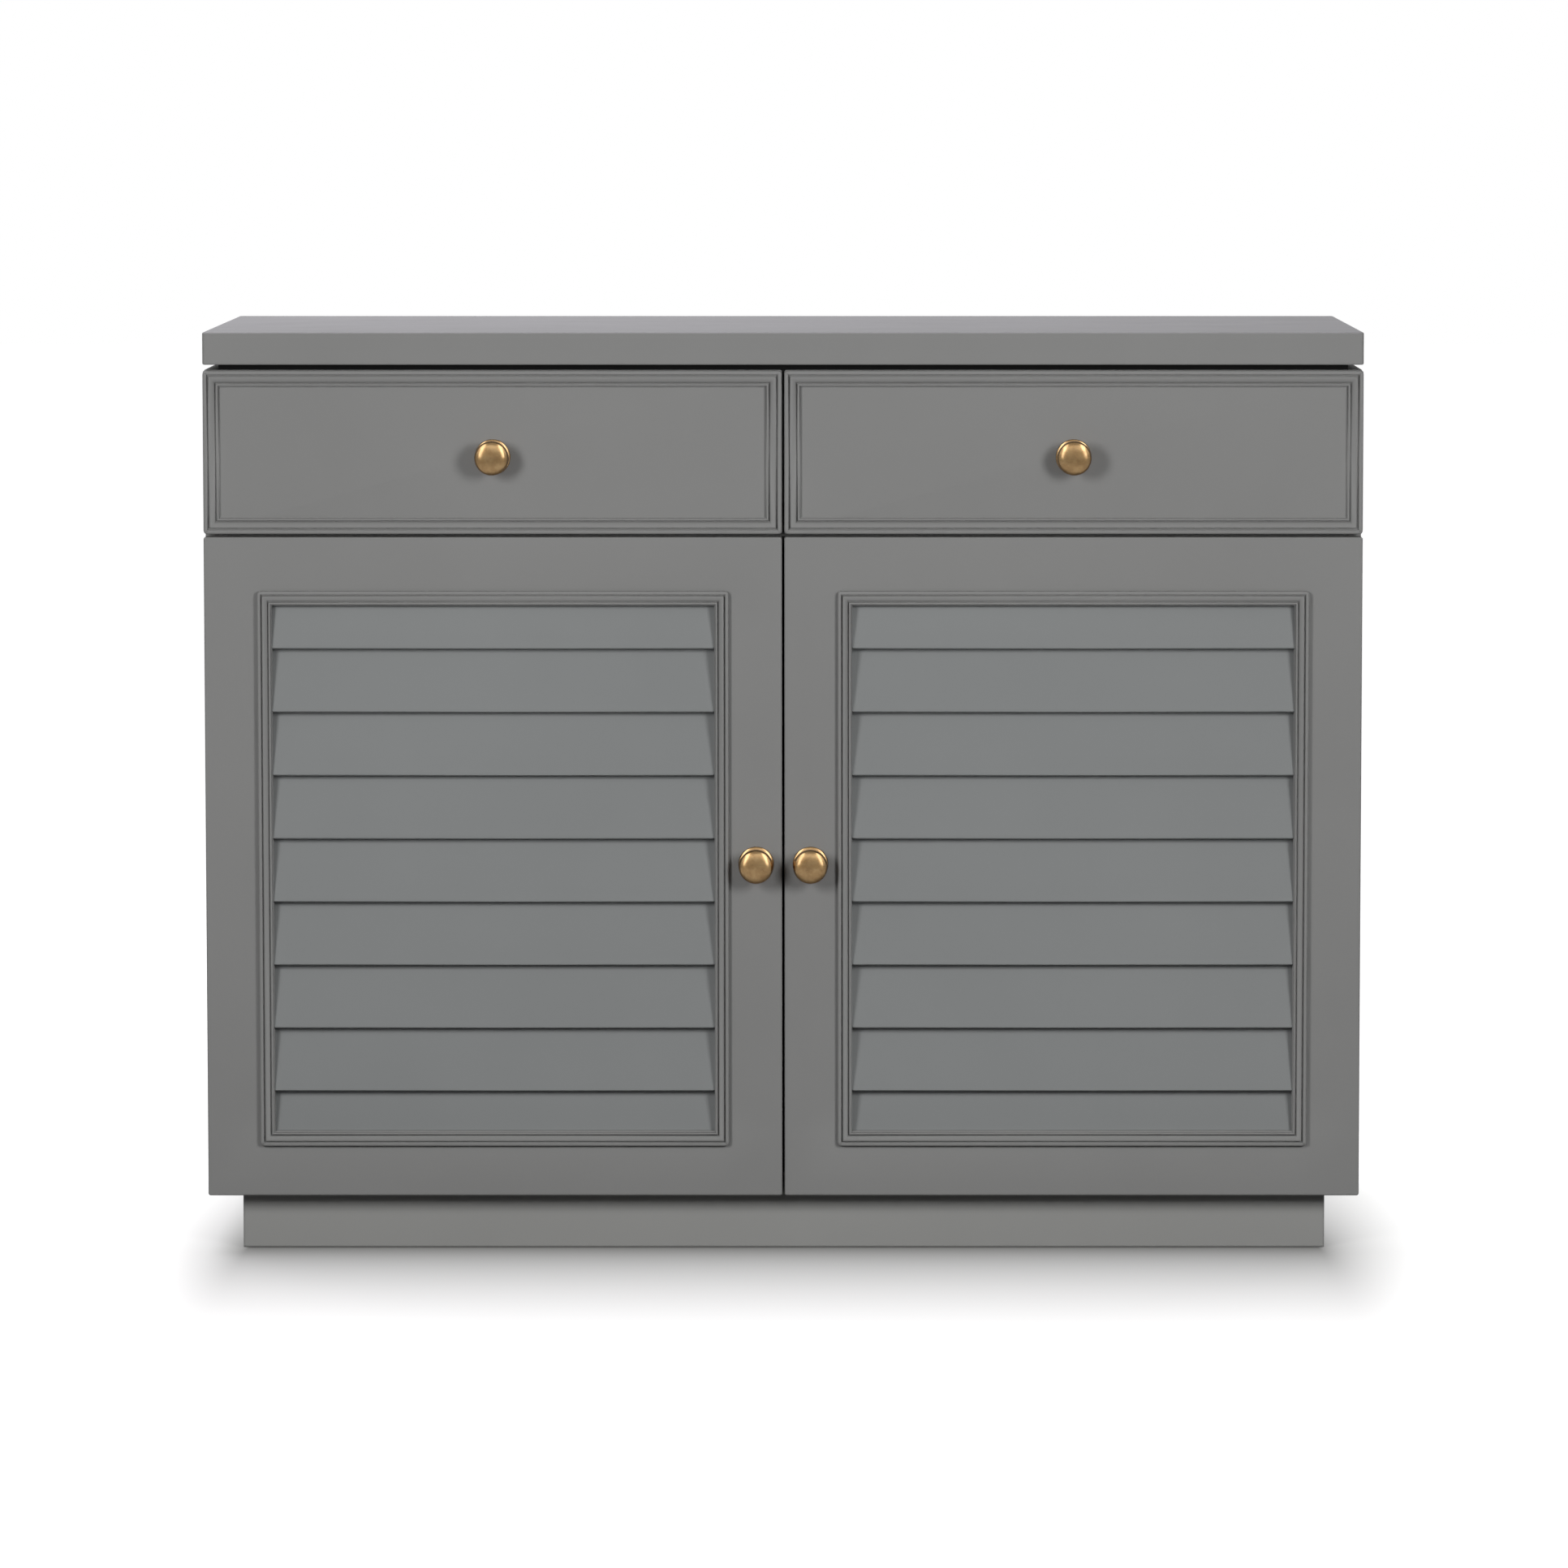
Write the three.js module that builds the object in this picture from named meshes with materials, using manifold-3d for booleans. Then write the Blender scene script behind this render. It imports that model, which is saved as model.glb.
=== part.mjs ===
// Louvred door cabinet: two drawers above two louvred doors, on a plinth that stands back.
// Millimetres. X runs to the right, Y to the back and Z up. The fronts face -Y.

import * as THREE from 'three';
import { mergeVertices } from 'three/addons/utils/BufferGeometryUtils.js';
import Module from 'manifold-3d';

const wasm = await Module();
wasm.setup();

// Driving dimensions of the whole cabinet
const WIDTH = 1000;
const DEPTH = 400;
const HEIGHT = 800;
const PLINTH_HEIGHT = 50;
const PLINTH_SETBACK = 28;
const TOP_THICKNESS = 28;
const SHADOW_GAP = 5;
const DRAWER_FRONT_HEIGHT = 141;
const ROW_GAP = 2.5;
const MEETING_GAP = 2;

// Boards of the carcass
const BOARD = 18;
const BACK_THICKNESS = 6;
const HOUSING_DEPTH = 6;
const BACK_REBATE = 8;
const SHELF_SETBACK = 20;
const TOP_EASE = 1.5;
const TOP_CORNER = 2.5;

// Fronts: the boards and frames that close the cabinet
const FRONT_THICKNESS = 20;
const BUMPER_GAP = 2.5;
const FRONT_EASE = 1.5;
const FRONT_CORNER = 2;

// Moulding: one profile for both, as shares of width and height from the outer edge inward;
// the strip round a drawer front is a little wider than the one round the louvres
const MOULDING_WIDTH = 12.5;
const DRAWER_MOULDING_WIDTH = 14.5;
const MOULDING_PROUD = 5;
const MOULDING_OUTER_CORNER = 3;
const MOULDING_INNER_CORNER = 0.3;
const MOULDING_PROFILE_SHARES = [
  [0, 0], [0, 0.62], [0.04, 0.84], [0.12, 0.97], [0.2, 1], [0.31, 0.97],
  [0.35, 0.8], [0.39, 0.8], [0.43, 0.93], [0.52, 0.88], [0.62, 0.7], [0.7, 0.5],
  [0.76, 0.3], [0.8, 0.3], [0.84, 0.44], [0.9, 0.48], [0.96, 0.42], [1, 0.28], [1, 0],
];

// Door frame and louvres
const STILE_MARGIN = 46;
const TOP_RAIL_MARGIN = 46.5;
const BOTTOM_RAIL_MARGIN = 44;
const SLATS_PER_DOOR = 9;
const FIRST_SLAT_SHARE = 0.68;
const LAST_SLAT_SHARE = 0.645;
const SLAT_THICKNESS = 6;
const SLAT_AIR_GAP = 5;
const SLAT_OVERLAP = 5;
const SLAT_TENON = 6;
const SLAT_EASE = 1.2;

// Knobs: turned profile as shares of head radius and reach, from the rose to the crown
const KNOB_DIAMETER = 30;
const KNOB_REACH = 28;
const KNOB_PROFILE_SHARES = [
  [1.04, 0], [1.08, 0.03], [1.07, 0.07], [0.98, 0.11], [0.66, 0.15], [0.45, 0.22], [0.4, 0.32],
  [0.45, 0.44], [0.62, 0.55], [0.86, 0.63], [0.97, 0.68], [1, 0.74], [0.985, 0.81],
  [0.945, 0.865], [0.88, 0.9], [0.7, 0.945], [0.48, 0.978], [0.24, 0.996], [0, 1],
];
const KNOB_SCREW_DIAMETER = 4;
const KNOB_SCREW_HEAD_DIAMETER = 9;
const KNOB_SCREW_HEAD_HEIGHT = 2.5;
const DOOR_KNOB_FROM_EDGE = 22.5;
const DOOR_KNOB_RISE = 3;
const DRAWER_KNOB_DROP = 4.2;

// Drawer boxes and the wooden runners in their sides
const DRAWER_BOARD = 15;
const DRAWER_BOX_HEIGHT = 100;
const DRAWER_BOX_DEPTH = 340;
const DRAWER_FLOOR_GAP = 8;
const DRAWER_SIDE_GAP = 4;
const DRAWER_BOTTOM_THICKNESS = 5;
const DRAWER_BOTTOM_RISE = 10;
const DRAWER_BOTTOM_GROOVE = 5;
const DRAWER_EDGE_EASE = 3;
const RUNNER_WIDTH = 11;
const RUNNER_HEIGHT = 16;
const RUNNER_LENGTH = 330;
const RUNNER_SETBACK = 8;
const RUNNER_EASE = 1;
const RUNNER_PLAY = 0.6;

// Concealed hinges that turn on a single pin
const HINGE_FROM_DOOR_END = 80;
const PIN_FROM_EDGE = 7.5;
const PIN_FROM_BACK = 8.5;
const PIN_DIAMETER = 2.5;
const CUP_DIAMETER = 35;
const CUP_DEPTH = 12.5;
const CUP_FROM_EDGE = 3;
const CUP_WALL = 0.8;
const CUP_EAR_WIDTH = 14;
const CUP_EAR_SPAN = 60;
const CUP_EAR_THICKNESS = 1.2;
const ARM_THICKNESS = 2;
const ARM_WIDTH = 11;
const ARM_EYE_WALL = 0.8;
const ARM_REACH = 17.5;
const ARM_NECK_SHARES = [[0.45, -0.07], [0.8, -0.02], [0.98, 0.25], [1, 0.5], [1, 1]];
const ARM_LENGTH = 64;
const PLATE_WIDTH = 22;
const PLATE_SPAN = 50;
const PLATE_WING_THICKNESS = 3;
const PLATE_CORNER = 5;

// Clearances: a seat gap where pieces meet, and how far a cutting shape runs past a face
const FIT = 0.3;
const OVERRUN = 4;

// Fineness of the curved faces
const EASE_STEPS = 2;
const CORNER_STEPS = 2;
const MITRE_STEPS = 3;
const KNOB_STEPS = 22;
const CUP_STEPS = 28;
const PIN_STEPS = 12;
const ARM_STEPS = 20;

// Finishes
const GREY_PAINT = { color: 0x80817f, roughness: 0.55, metalness: 0 };
const PALE_WOOD = { color: 0xcdb48c, roughness: 0.7, metalness: 0 };
const BACK_BOARD = { color: 0x8b8c8a, roughness: 0.7, metalness: 0 };
const AGED_BRASS = { color: 0x9b784b, roughness: 0.35, metalness: 0.9 };
const HINGE_STEEL = { color: 0xb9bbbd, roughness: 0.35, metalness: 0.9 };

// Places that several pieces share
const SIDES = { left: -1, right: 1 };
const HALF_WIDTH = WIDTH / 2;
const SIDE_INNER = HALF_WIDTH - BOARD;
const TOP_UNDERSIDE = HEIGHT - TOP_THICKNESS;
const FRONTS_TOP = TOP_UNDERSIDE - SHADOW_GAP;
const DRAWERS_BOTTOM = FRONTS_TOP - DRAWER_FRONT_HEIGHT;
const DOORS_TOP = DRAWERS_BOTTOM - ROW_GAP;
const CARCASS_FRONT = FRONT_THICKNESS + BUMPER_GAP;
const INNER_BACK = DEPTH - BACK_THICKNESS - FIT;
const MEETING_EDGE = MEETING_GAP / 2;
const DRAWER_SHELF_MIDDLE = DRAWERS_BOTTOM - ROW_GAP / 2;
const DRAWER_SHELF = [DRAWER_SHELF_MIDDLE - BOARD / 2, DRAWER_SHELF_MIDDLE + BOARD / 2];
const BOTTOM_PANEL = [PLINTH_HEIGHT, PLINTH_HEIGHT + BOARD];
const SUB_TOP = [TOP_UNDERSIDE - FIT - BOARD, TOP_UNDERSIDE - FIT];
const SHELF_MIDDLE = (BOTTOM_PANEL[1] + DRAWER_SHELF[0]) / 2;
const CUPBOARD_SHELF = [SHELF_MIDDLE - BOARD / 2, SHELF_MIDDLE + BOARD / 2];
const DRAWER_BOARD_FRONT = MOULDING_PROUD;
const PIN_Y = FRONT_THICKNESS - PIN_FROM_BACK;

// Solid tools

function solid(geometry) {
  const bare = geometry.clone();
  bare.deleteAttribute('normal');
  bare.deleteAttribute('uv');
  const merged = mergeVertices(bare);
  return new wasm.Manifold(new wasm.Mesh({
    numProp: 3,
    vertProperties: new Float32Array(merged.attributes.position.array),
    triVerts: new Uint32Array(merged.index.array),
  }));
}

function surface(body) {
  const mesh = body.getMesh();
  const geometry = new THREE.BufferGeometry();
  geometry.setAttribute('position', new THREE.BufferAttribute(mesh.vertProperties, 3));
  geometry.setIndex(new THREE.BufferAttribute(mesh.triVerts, 1));
  geometry.computeVertexNormals();
  return geometry;
}

function cut(geometry, tools) {
  return surface(tools.reduce((body, tool) => body.subtract(solid(tool)), solid(geometry)));
}

function join(geometries) {
  return surface(geometries.map(solid).reduce((body, other) => body.add(other)));
}

function block(xs, ys, zs) {
  const spans = [xs, ys, zs].map((range) => Math.abs(range[1] - range[0]));
  const middles = [xs, ys, zs].map((range) => (range[0] + range[1]) / 2);
  return new THREE.BoxGeometry(...spans).translate(...middles);
}

function roundedOutline(xs, ys, radius) {
  const [left, right] = [Math.min(...xs), Math.max(...xs)];
  const [low, high] = [Math.min(...ys), Math.max(...ys)];
  const outline = new THREE.Shape();
  outline.absarc(right - radius, low + radius, radius, -Math.PI / 2, 0);
  outline.absarc(right - radius, high - radius, radius, 0, Math.PI / 2);
  outline.absarc(left + radius, high - radius, radius, Math.PI / 2, Math.PI);
  outline.absarc(left + radius, low + radius, radius, Math.PI, 1.5 * Math.PI);
  outline.closePath();
  return outline;
}

// A board drawn in plan and raised from one height to another
function layFlat(outline, zs, ease = 0) {
  const geometry = new THREE.ExtrudeGeometry(outline, {
    depth: zs[1] - zs[0] - 2 * ease,
    bevelEnabled: ease > 0,
    bevelThickness: ease,
    bevelSize: ease,
    bevelOffset: -ease,
    bevelSegments: EASE_STEPS,
    curveSegments: CORNER_STEPS,
  });
  return geometry.translate(0, 0, zs[0] + ease);
}

// A board drawn in front view, X across and Z up, from its front face to its back face
function standUp(outline, ys, ease = 0) {
  return layFlat(outline, [-ys[1], -ys[0]], ease).rotateX(Math.PI / 2);
}

// A section drawn with Y across and Z up, run along X
function runAcross(section, xs) {
  const turn = new THREE.Matrix4().makeBasis(
    new THREE.Vector3(0, 1, 0), new THREE.Vector3(0, 0, 1), new THREE.Vector3(1, 0, 0));
  return layFlat(section, [Math.min(...xs), Math.max(...xs)]).applyMatrix4(turn);
}

// A turned shape on an axis that runs along Y, its profile as radius and place on the axis
function turned(profile, steps, x, z) {
  const points = profile.map(([radius, along]) => new THREE.Vector2(radius, along));
  return new THREE.LatheGeometry(points, steps).translate(x, 0, z);
}

function drill(diameter, ys, steps, x, z) {
  const length = ys[1] - ys[0];
  const bore = new THREE.CylinderGeometry(diameter / 2, diameter / 2, length, steps);
  return bore.translate(x, ys[0] + length / 2, z);
}

function piece(name, geometry, finish) {
  const mesh = new THREE.Mesh(geometry, new THREE.MeshStandardMaterial(finish));
  mesh.name = name;
  return mesh;
}

// Carcass

function topPanel() {
  const outline = roundedOutline([-HALF_WIDTH, HALF_WIDTH], [0, DEPTH], TOP_CORNER);
  return piece('top_panel', layFlat(outline, [TOP_UNDERSIDE, HEIGHT], TOP_EASE), GREY_PAINT);
}

function sidePanel(name, side) {
  const board = block(
    [side * SIDE_INNER, side * HALF_WIDTH], [CARCASS_FRONT, DEPTH], [PLINTH_HEIGHT, FRONTS_TOP]);
  const housing = [side * (SIDE_INNER - OVERRUN), side * (SIDE_INNER + HOUSING_DEPTH + FIT)];
  const rebate = [side * (SIDE_INNER - OVERRUN), side * (SIDE_INNER + BACK_REBATE + FIT)];
  const through = [CARCASS_FRONT - OVERRUN, DEPTH + OVERRUN];
  const stopped = [CARCASS_FRONT + SHELF_SETBACK - FIT, DEPTH + OVERRUN];
  return piece(name, cut(board, [
    block(housing, through, [BOTTOM_PANEL[0] - OVERRUN, BOTTOM_PANEL[1] + FIT]),
    block(housing, stopped, [CUPBOARD_SHELF[0] - FIT, CUPBOARD_SHELF[1] + FIT]),
    block(housing, through, [DRAWER_SHELF[0] - FIT, DRAWER_SHELF[1] + FIT]),
    block(housing, through, [SUB_TOP[0] - FIT, FRONTS_TOP + OVERRUN]),
    block(rebate, [INNER_BACK, DEPTH + OVERRUN], [PLINTH_HEIGHT - OVERRUN, FRONTS_TOP + OVERRUN]),
  ]), GREY_PAINT);
}

function housedPanel(name, front, zs) {
  const end = SIDE_INNER + HOUSING_DEPTH;
  return piece(name, block([-end, end], [front, INNER_BACK], zs), GREY_PAINT);
}

function centreDivider() {
  const board = block(
    [-BOARD / 2, BOARD / 2], [CARCASS_FRONT, INNER_BACK], [DRAWER_SHELF[1] + FIT, SUB_TOP[0] - FIT]);
  return piece('centre_divider', board, GREY_PAINT);
}

function backPanel() {
  const edge = SIDE_INNER + BACK_REBATE;
  const board = block([-edge, edge], [DEPTH - BACK_THICKNESS, DEPTH], [PLINTH_HEIGHT, FRONTS_TOP]);
  return piece('back_panel', board, BACK_BOARD);
}

// Four boards round the edge and a stretcher between them, glued up as one frame
function plinthFrame() {
  const edge = HALF_WIDTH - PLINTH_SETBACK;
  const front = PLINTH_SETBACK;
  const back = DEPTH - PLINTH_SETBACK;
  const inside = [front + BOARD, back - BOARD];
  const height = [0, PLINTH_HEIGHT - FIT];
  const hollow = [-OVERRUN, PLINTH_HEIGHT + OVERRUN];
  return piece('plinth_frame', cut(block([-edge, edge], [front, back], height), [
    block([-edge + BOARD, -BOARD / 2], inside, hollow),
    block([BOARD / 2, edge - BOARD], inside, hollow),
  ]), GREY_PAINT);
}

// Moulding: the profile carried round a rectangle, with mitred and lightly rounded corners

function mouldingRing(name, xs, zs, width, seat) {
  const [left, right] = [Math.min(...xs), Math.max(...xs)];
  const [low, high] = [Math.min(...zs), Math.max(...zs)];
  const corners = [[right, low, -1, 1], [right, high, -1, -1], [left, high, 1, -1], [left, low, 1, 1]];
  const stations = [];
  corners.forEach(([x, z, inwardX, inwardZ], corner) => {
    for (let step = 0; step < MITRE_STEPS; step += 1) {
      const angle = (corner - 1 + step / (MITRE_STEPS - 1)) * Math.PI / 2;
      stations.push({ x, z, inwardX, inwardZ, angle });
    }
  });
  const count = MOULDING_PROFILE_SHARES.length;
  const points = stations.flatMap((station) => MOULDING_PROFILE_SHARES.map(([across, up]) => {
    const inset = across * width;
    const radius = MOULDING_OUTER_CORNER + across * (MOULDING_INNER_CORNER - MOULDING_OUTER_CORNER);
    return [
      station.x + station.inwardX * (inset + radius) + radius * Math.cos(station.angle),
      seat - FIT - up * (MOULDING_PROUD - FIT),
      station.z + station.inwardZ * (inset + radius) + radius * Math.sin(station.angle),
    ];
  }));
  const index = [];
  stations.forEach((_, here) => {
    const next = (here + 1) % stations.length;
    for (let k = 0; k < count; k += 1) {
      const after = (k + 1) % count;
      const [a, b] = [here * count + k, here * count + after];
      const [c, d] = [next * count + k, next * count + after];
      index.push(a, c, b, b, c, d);
    }
  });
  const geometry = new THREE.BufferGeometry();
  geometry.setAttribute('position', new THREE.Float32BufferAttribute(points.flat(), 3));
  geometry.setIndex(index);
  geometry.computeVertexNormals();
  return piece(name, geometry, GREY_PAINT);
}

// Knobs: a turned brass head on its rose, with the screw that holds it from behind

function knob(name, x, z, face) {
  const radius = KNOB_DIAMETER / 2;
  const boltRadius = KNOB_SCREW_DIAMETER / 2;
  const headRadius = KNOB_SCREW_HEAD_DIAMETER / 2;
  const seat = FRONT_THICKNESS + FIT;
  const crown = KNOB_PROFILE_SHARES.map(([out, reach]) => [
    out * radius, face - FIT - reach * (KNOB_REACH - FIT)]);
  const profile = [
    [0, seat + KNOB_SCREW_HEAD_HEIGHT], [headRadius, seat + KNOB_SCREW_HEAD_HEIGHT],
    [headRadius, seat], [boltRadius, seat], [boltRadius, face - FIT], ...crown,
  ];
  return piece(name, turned(profile.reverse(), KNOB_STEPS, x, z), AGED_BRASS);
}

function knobHole(x, z) {
  return drill(KNOB_SCREW_DIAMETER + 2 * FIT, [-OVERRUN, FRONT_THICKNESS + OVERRUN], PIN_STEPS, x, z);
}

// Drawers

function drawer(name, side) {
  const group = new THREE.Group();
  const frontXs = [side * MEETING_EDGE, side * HALF_WIDTH];
  const frontZs = [DRAWERS_BOTTOM, FRONTS_TOP];
  const outerFace = side * (SIDE_INNER - DRAWER_SIDE_GAP);
  const innerFace = side * (BOARD / 2 + DRAWER_SIDE_GAP);
  const boxFront = FRONT_THICKNESS + FIT;
  const boxBack = boxFront + DRAWER_BOX_DEPTH;
  const boxBottom = DRAWER_SHELF[1] + DRAWER_FLOOR_GAP;
  const boxTop = boxBottom + DRAWER_BOX_HEIGHT;
  const panel = [boxBottom + DRAWER_BOTTOM_RISE, boxBottom + DRAWER_BOTTOM_RISE + DRAWER_BOTTOM_THICKNESS];
  const groove = [panel[0] - FIT, panel[1] + FIT];
  const runner = runnerHeights();
  const knobX = (frontXs[0] + frontXs[1]) / 2;
  const knobZ = (frontZs[0] + frontZs[1]) / 2 - DRAWER_KNOB_DROP;
  const insideXs = [outerFace - side * DRAWER_BOARD, innerFace + side * DRAWER_BOARD];
  const grooveXs = [
    insideXs[0] + side * (DRAWER_BOTTOM_GROOVE + FIT), insideXs[1] - side * (DRAWER_BOTTOM_GROOVE + FIT)];

  const board = standUp(
    roundedOutline(frontXs, frontZs, FRONT_CORNER), [DRAWER_BOARD_FRONT, FRONT_THICKNESS]);
  group.add(piece(`${name}_front`, cut(board, [
    block(grooveXs, [FRONT_THICKNESS - DRAWER_BOTTOM_GROOVE - FIT, FRONT_THICKNESS + OVERRUN], groove),
    knobHole(knobX, knobZ),
  ]), GREY_PAINT));
  group.add(mouldingRing(
    `${name}_moulding`, frontXs, frontZs, DRAWER_MOULDING_WIDTH, DRAWER_BOARD_FRONT));

  // A side is a board with a rounded top edge, the bottom's groove inside and the runner's outside
  function boxSide(outside, inward) {
    const inside = outside + inward * DRAWER_BOARD;
    const section = roundedOutline([outside, inside], [boxBottom, boxTop], DRAWER_EDGE_EASE);
    const past = [boxFront - OVERRUN, boxBack + OVERRUN];
    const runnerDepth = RUNNER_WIDTH + FIT - DRAWER_SIDE_GAP + RUNNER_PLAY;
    return cut(standUp(section, [boxFront, boxBack]), [
      block([inside - inward * (DRAWER_BOTTOM_GROOVE + FIT), inside + inward * OVERRUN], past, groove),
      block([outside - inward * OVERRUN, outside + inward * runnerDepth], past,
        [runner[0] - RUNNER_PLAY, runner[1] + FIT]),
    ]);
  }
  group.add(piece(`${name}_outer_side`, boxSide(outerFace, -side), PALE_WOOD));
  group.add(piece(`${name}_inner_side`, boxSide(innerFace, side), PALE_WOOD));

  const backXs = [insideXs[0] - side * FIT, insideXs[1] + side * FIT];
  group.add(piece(`${name}_back`, block(
    backXs, [boxBack - DRAWER_BOARD, boxBack], [panel[1] + FIT, boxTop]), PALE_WOOD));
  const bottomXs = [insideXs[0] + side * DRAWER_BOTTOM_GROOVE, insideXs[1] - side * DRAWER_BOTTOM_GROOVE];
  group.add(piece(`${name}_bottom`, block(
    bottomXs, [FRONT_THICKNESS - DRAWER_BOTTOM_GROOVE, boxBack], panel), PALE_WOOD));
  group.add(knob(`${name}_knob`, knobX, knobZ, DRAWER_BOARD_FRONT));
  return group;
}

function runnerHeights() {
  const middle = DRAWER_SHELF[1] + DRAWER_FLOOR_GAP + DRAWER_BOX_HEIGHT / 2;
  return [middle - RUNNER_HEIGHT / 2, middle + RUNNER_HEIGHT / 2];
}

// A batten screwed to the side panel or to the divider, for the groove in the drawer side
function runner(name, wall, inward) {
  const start = CARCASS_FRONT + RUNNER_SETBACK;
  const section = roundedOutline(
    [wall + inward * FIT, wall + inward * (FIT + RUNNER_WIDTH)], runnerHeights(), RUNNER_EASE);
  return piece(name, standUp(section, [start, start + RUNNER_LENGTH]), PALE_WOOD);
}

// Doors

// The leaning section of a slat, with a rounded lower front edge, or of the plain housing round it
function slatSection(grow) {
  const lean = Math.atan((SLAT_THICKNESS + SLAT_AIR_GAP) / slatPitch());
  const face = slatPitch() + SLAT_OVERLAP + grow;
  const outline = new THREE.Shape();
  outline.moveTo(SLAT_THICKNESS + grow, -grow);
  outline.lineTo(SLAT_THICKNESS + grow, face);
  outline.lineTo(-grow, face);
  if (grow > 0) {
    outline.lineTo(-grow, -grow);
  } else {
    outline.absarc(SLAT_EASE, SLAT_EASE, SLAT_EASE, Math.PI, 1.5 * Math.PI);
  }
  const points = outline.getPoints(CORNER_STEPS).map((point) => (
    point.rotateAround(new THREE.Vector2(), -lean)));
  return new THREE.Shape(points);
}

function openingHeights() {
  return [
    PLINTH_HEIGHT + BOTTOM_RAIL_MARGIN + MOULDING_WIDTH, DOORS_TOP - TOP_RAIL_MARGIN - MOULDING_WIDTH];
}

function slatPitch() {
  const [low, high] = openingHeights();
  return (high - low) / (FIRST_SLAT_SHARE + SLATS_PER_DOOR - 2 + LAST_SLAT_SHARE);
}

// A slat, or with some growth the housing that its ends sit in, trimmed to the opening
function slatShape(number, xs, grow) {
  const [low, high] = openingHeights();
  const lowerEdge = high - slatPitch() * (FIRST_SLAT_SHARE + number - 1);
  const whole = runAcross(slatSection(grow), xs).translate(0, 0, lowerEdge);
  const room = [low + FIT - grow, high - FIT + grow];
  const past = [Math.min(...xs) - OVERRUN, Math.max(...xs) + OVERRUN];
  return surface(solid(whole).intersect(solid(block(past, [-OVERRUN, FRONT_THICKNESS], room))));
}

function door(name, side) {
  const group = new THREE.Group();
  const outerXs = [side * MEETING_EDGE, side * HALF_WIDTH];
  const outerZs = [PLINTH_HEIGHT, DOORS_TOP];
  const openXs = [
    side * (MEETING_EDGE + STILE_MARGIN + MOULDING_WIDTH), side * (HALF_WIDTH - STILE_MARGIN - MOULDING_WIDTH)];
  const openZs = openingHeights();
  const slatXs = [openXs[0] - side * SLAT_TENON, openXs[1] + side * SLAT_TENON];
  const housingXs = [slatXs[0] - side * FIT, slatXs[1] + side * FIT];
  const knobX = side * (MEETING_EDGE + DOOR_KNOB_FROM_EDGE);
  const knobZ = (outerZs[0] + outerZs[1]) / 2 + DOOR_KNOB_RISE;
  const numbers = Array.from({ length: SLATS_PER_DOOR }, (_, i) => i + 1);

  const blank = standUp(
    roundedOutline(outerXs, outerZs, FRONT_CORNER), [0, FRONT_THICKNESS], FRONT_EASE);
  const cupX = side * (HALF_WIDTH - CUP_FROM_EDGE - CUP_DIAMETER / 2);
  const bores = Object.values(hingeHeights()).map((z) => drill(
    CUP_DIAMETER + 2 * FIT, [FRONT_THICKNESS - CUP_DEPTH - FIT, FRONT_THICKNESS + OVERRUN], CUP_STEPS, cupX, z));
  group.add(piece(`${name}_frame`, cut(blank, [
    block(openXs, [-OVERRUN, FRONT_THICKNESS + OVERRUN], openZs),
    ...numbers.map((number) => slatShape(number, housingXs, FIT)),
    knobHole(knobX, knobZ),
    ...bores,
  ]), GREY_PAINT));

  const mouldingXs = [openXs[0] - side * MOULDING_WIDTH, openXs[1] + side * MOULDING_WIDTH];
  const mouldingZs = [openZs[0] - MOULDING_WIDTH, openZs[1] + MOULDING_WIDTH];
  group.add(mouldingRing(`${name}_moulding`, mouldingXs, mouldingZs, MOULDING_WIDTH, 0));
  numbers.forEach((number) => {
    group.add(piece(`${name}_slat_${number}`, slatShape(number, slatXs, 0), GREY_PAINT));
  });
  group.add(knob(`${name}_knob`, knobX, knobZ, 0));
  return group;
}

// Hinges

function hingeHeights() {
  return { upper: DOORS_TOP - HINGE_FROM_DOOR_END, lower: PLINTH_HEIGHT + HINGE_FROM_DOOR_END };
}

function pinX(side) {
  return side * (HALF_WIDTH - PIN_FROM_EDGE);
}

// The pressed cup in the door, with its two screw ears and the pin across it
function hingeCup(name, side, z) {
  const x = side * (HALF_WIDTH - CUP_FROM_EDGE - CUP_DIAMETER / 2);
  const outer = CUP_DIAMETER / 2;
  const inner = outer - CUP_WALL;
  const floor = FRONT_THICKNESS - CUP_DEPTH;
  const seat = FRONT_THICKNESS + FIT;
  const shell = turned([
    [0, floor], [outer, floor], [outer, seat + CUP_EAR_THICKNESS],
    [inner, seat + CUP_EAR_THICKNESS], [inner, floor + CUP_WALL], [0, floor + CUP_WALL],
  ], CUP_STEPS, x, z);
  const plate = standUp(roundedOutline(
    [x - CUP_EAR_WIDTH / 2, x + CUP_EAR_WIDTH / 2], [z - CUP_EAR_SPAN / 2, z + CUP_EAR_SPAN / 2],
    CUP_EAR_WIDTH / 3), [seat, seat + CUP_EAR_THICKNESS]);
  const ears = cut(plate, [drill(
    CUP_DIAMETER - CUP_WALL, [seat - OVERRUN, seat + OVERRUN], CUP_STEPS, x, z)]);
  const rim = block(
    [side * (HALF_WIDTH - PIN_FROM_EDGE + FIT), side * (HALF_WIDTH + OVERRUN)],
    [FRONT_THICKNESS, FRONT_THICKNESS + OVERRUN], [z - CUP_DIAMETER, z + CUP_DIAMETER]);
  const bar = new THREE.CylinderGeometry(PIN_DIAMETER / 2, PIN_DIAMETER / 2, CUP_DIAMETER, PIN_STEPS)
    .rotateX(Math.PI / 2).translate(pinX(side), PIN_Y, z);
  const midWall = drill(CUP_DIAMETER - CUP_WALL, [floor, seat], CUP_STEPS, x, z);
  const pin = surface(solid(bar).intersect(solid(midWall)));
  return piece(name, cut(join([shell, ears, pin]), [rim]), HINGE_STEEL);
}

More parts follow.
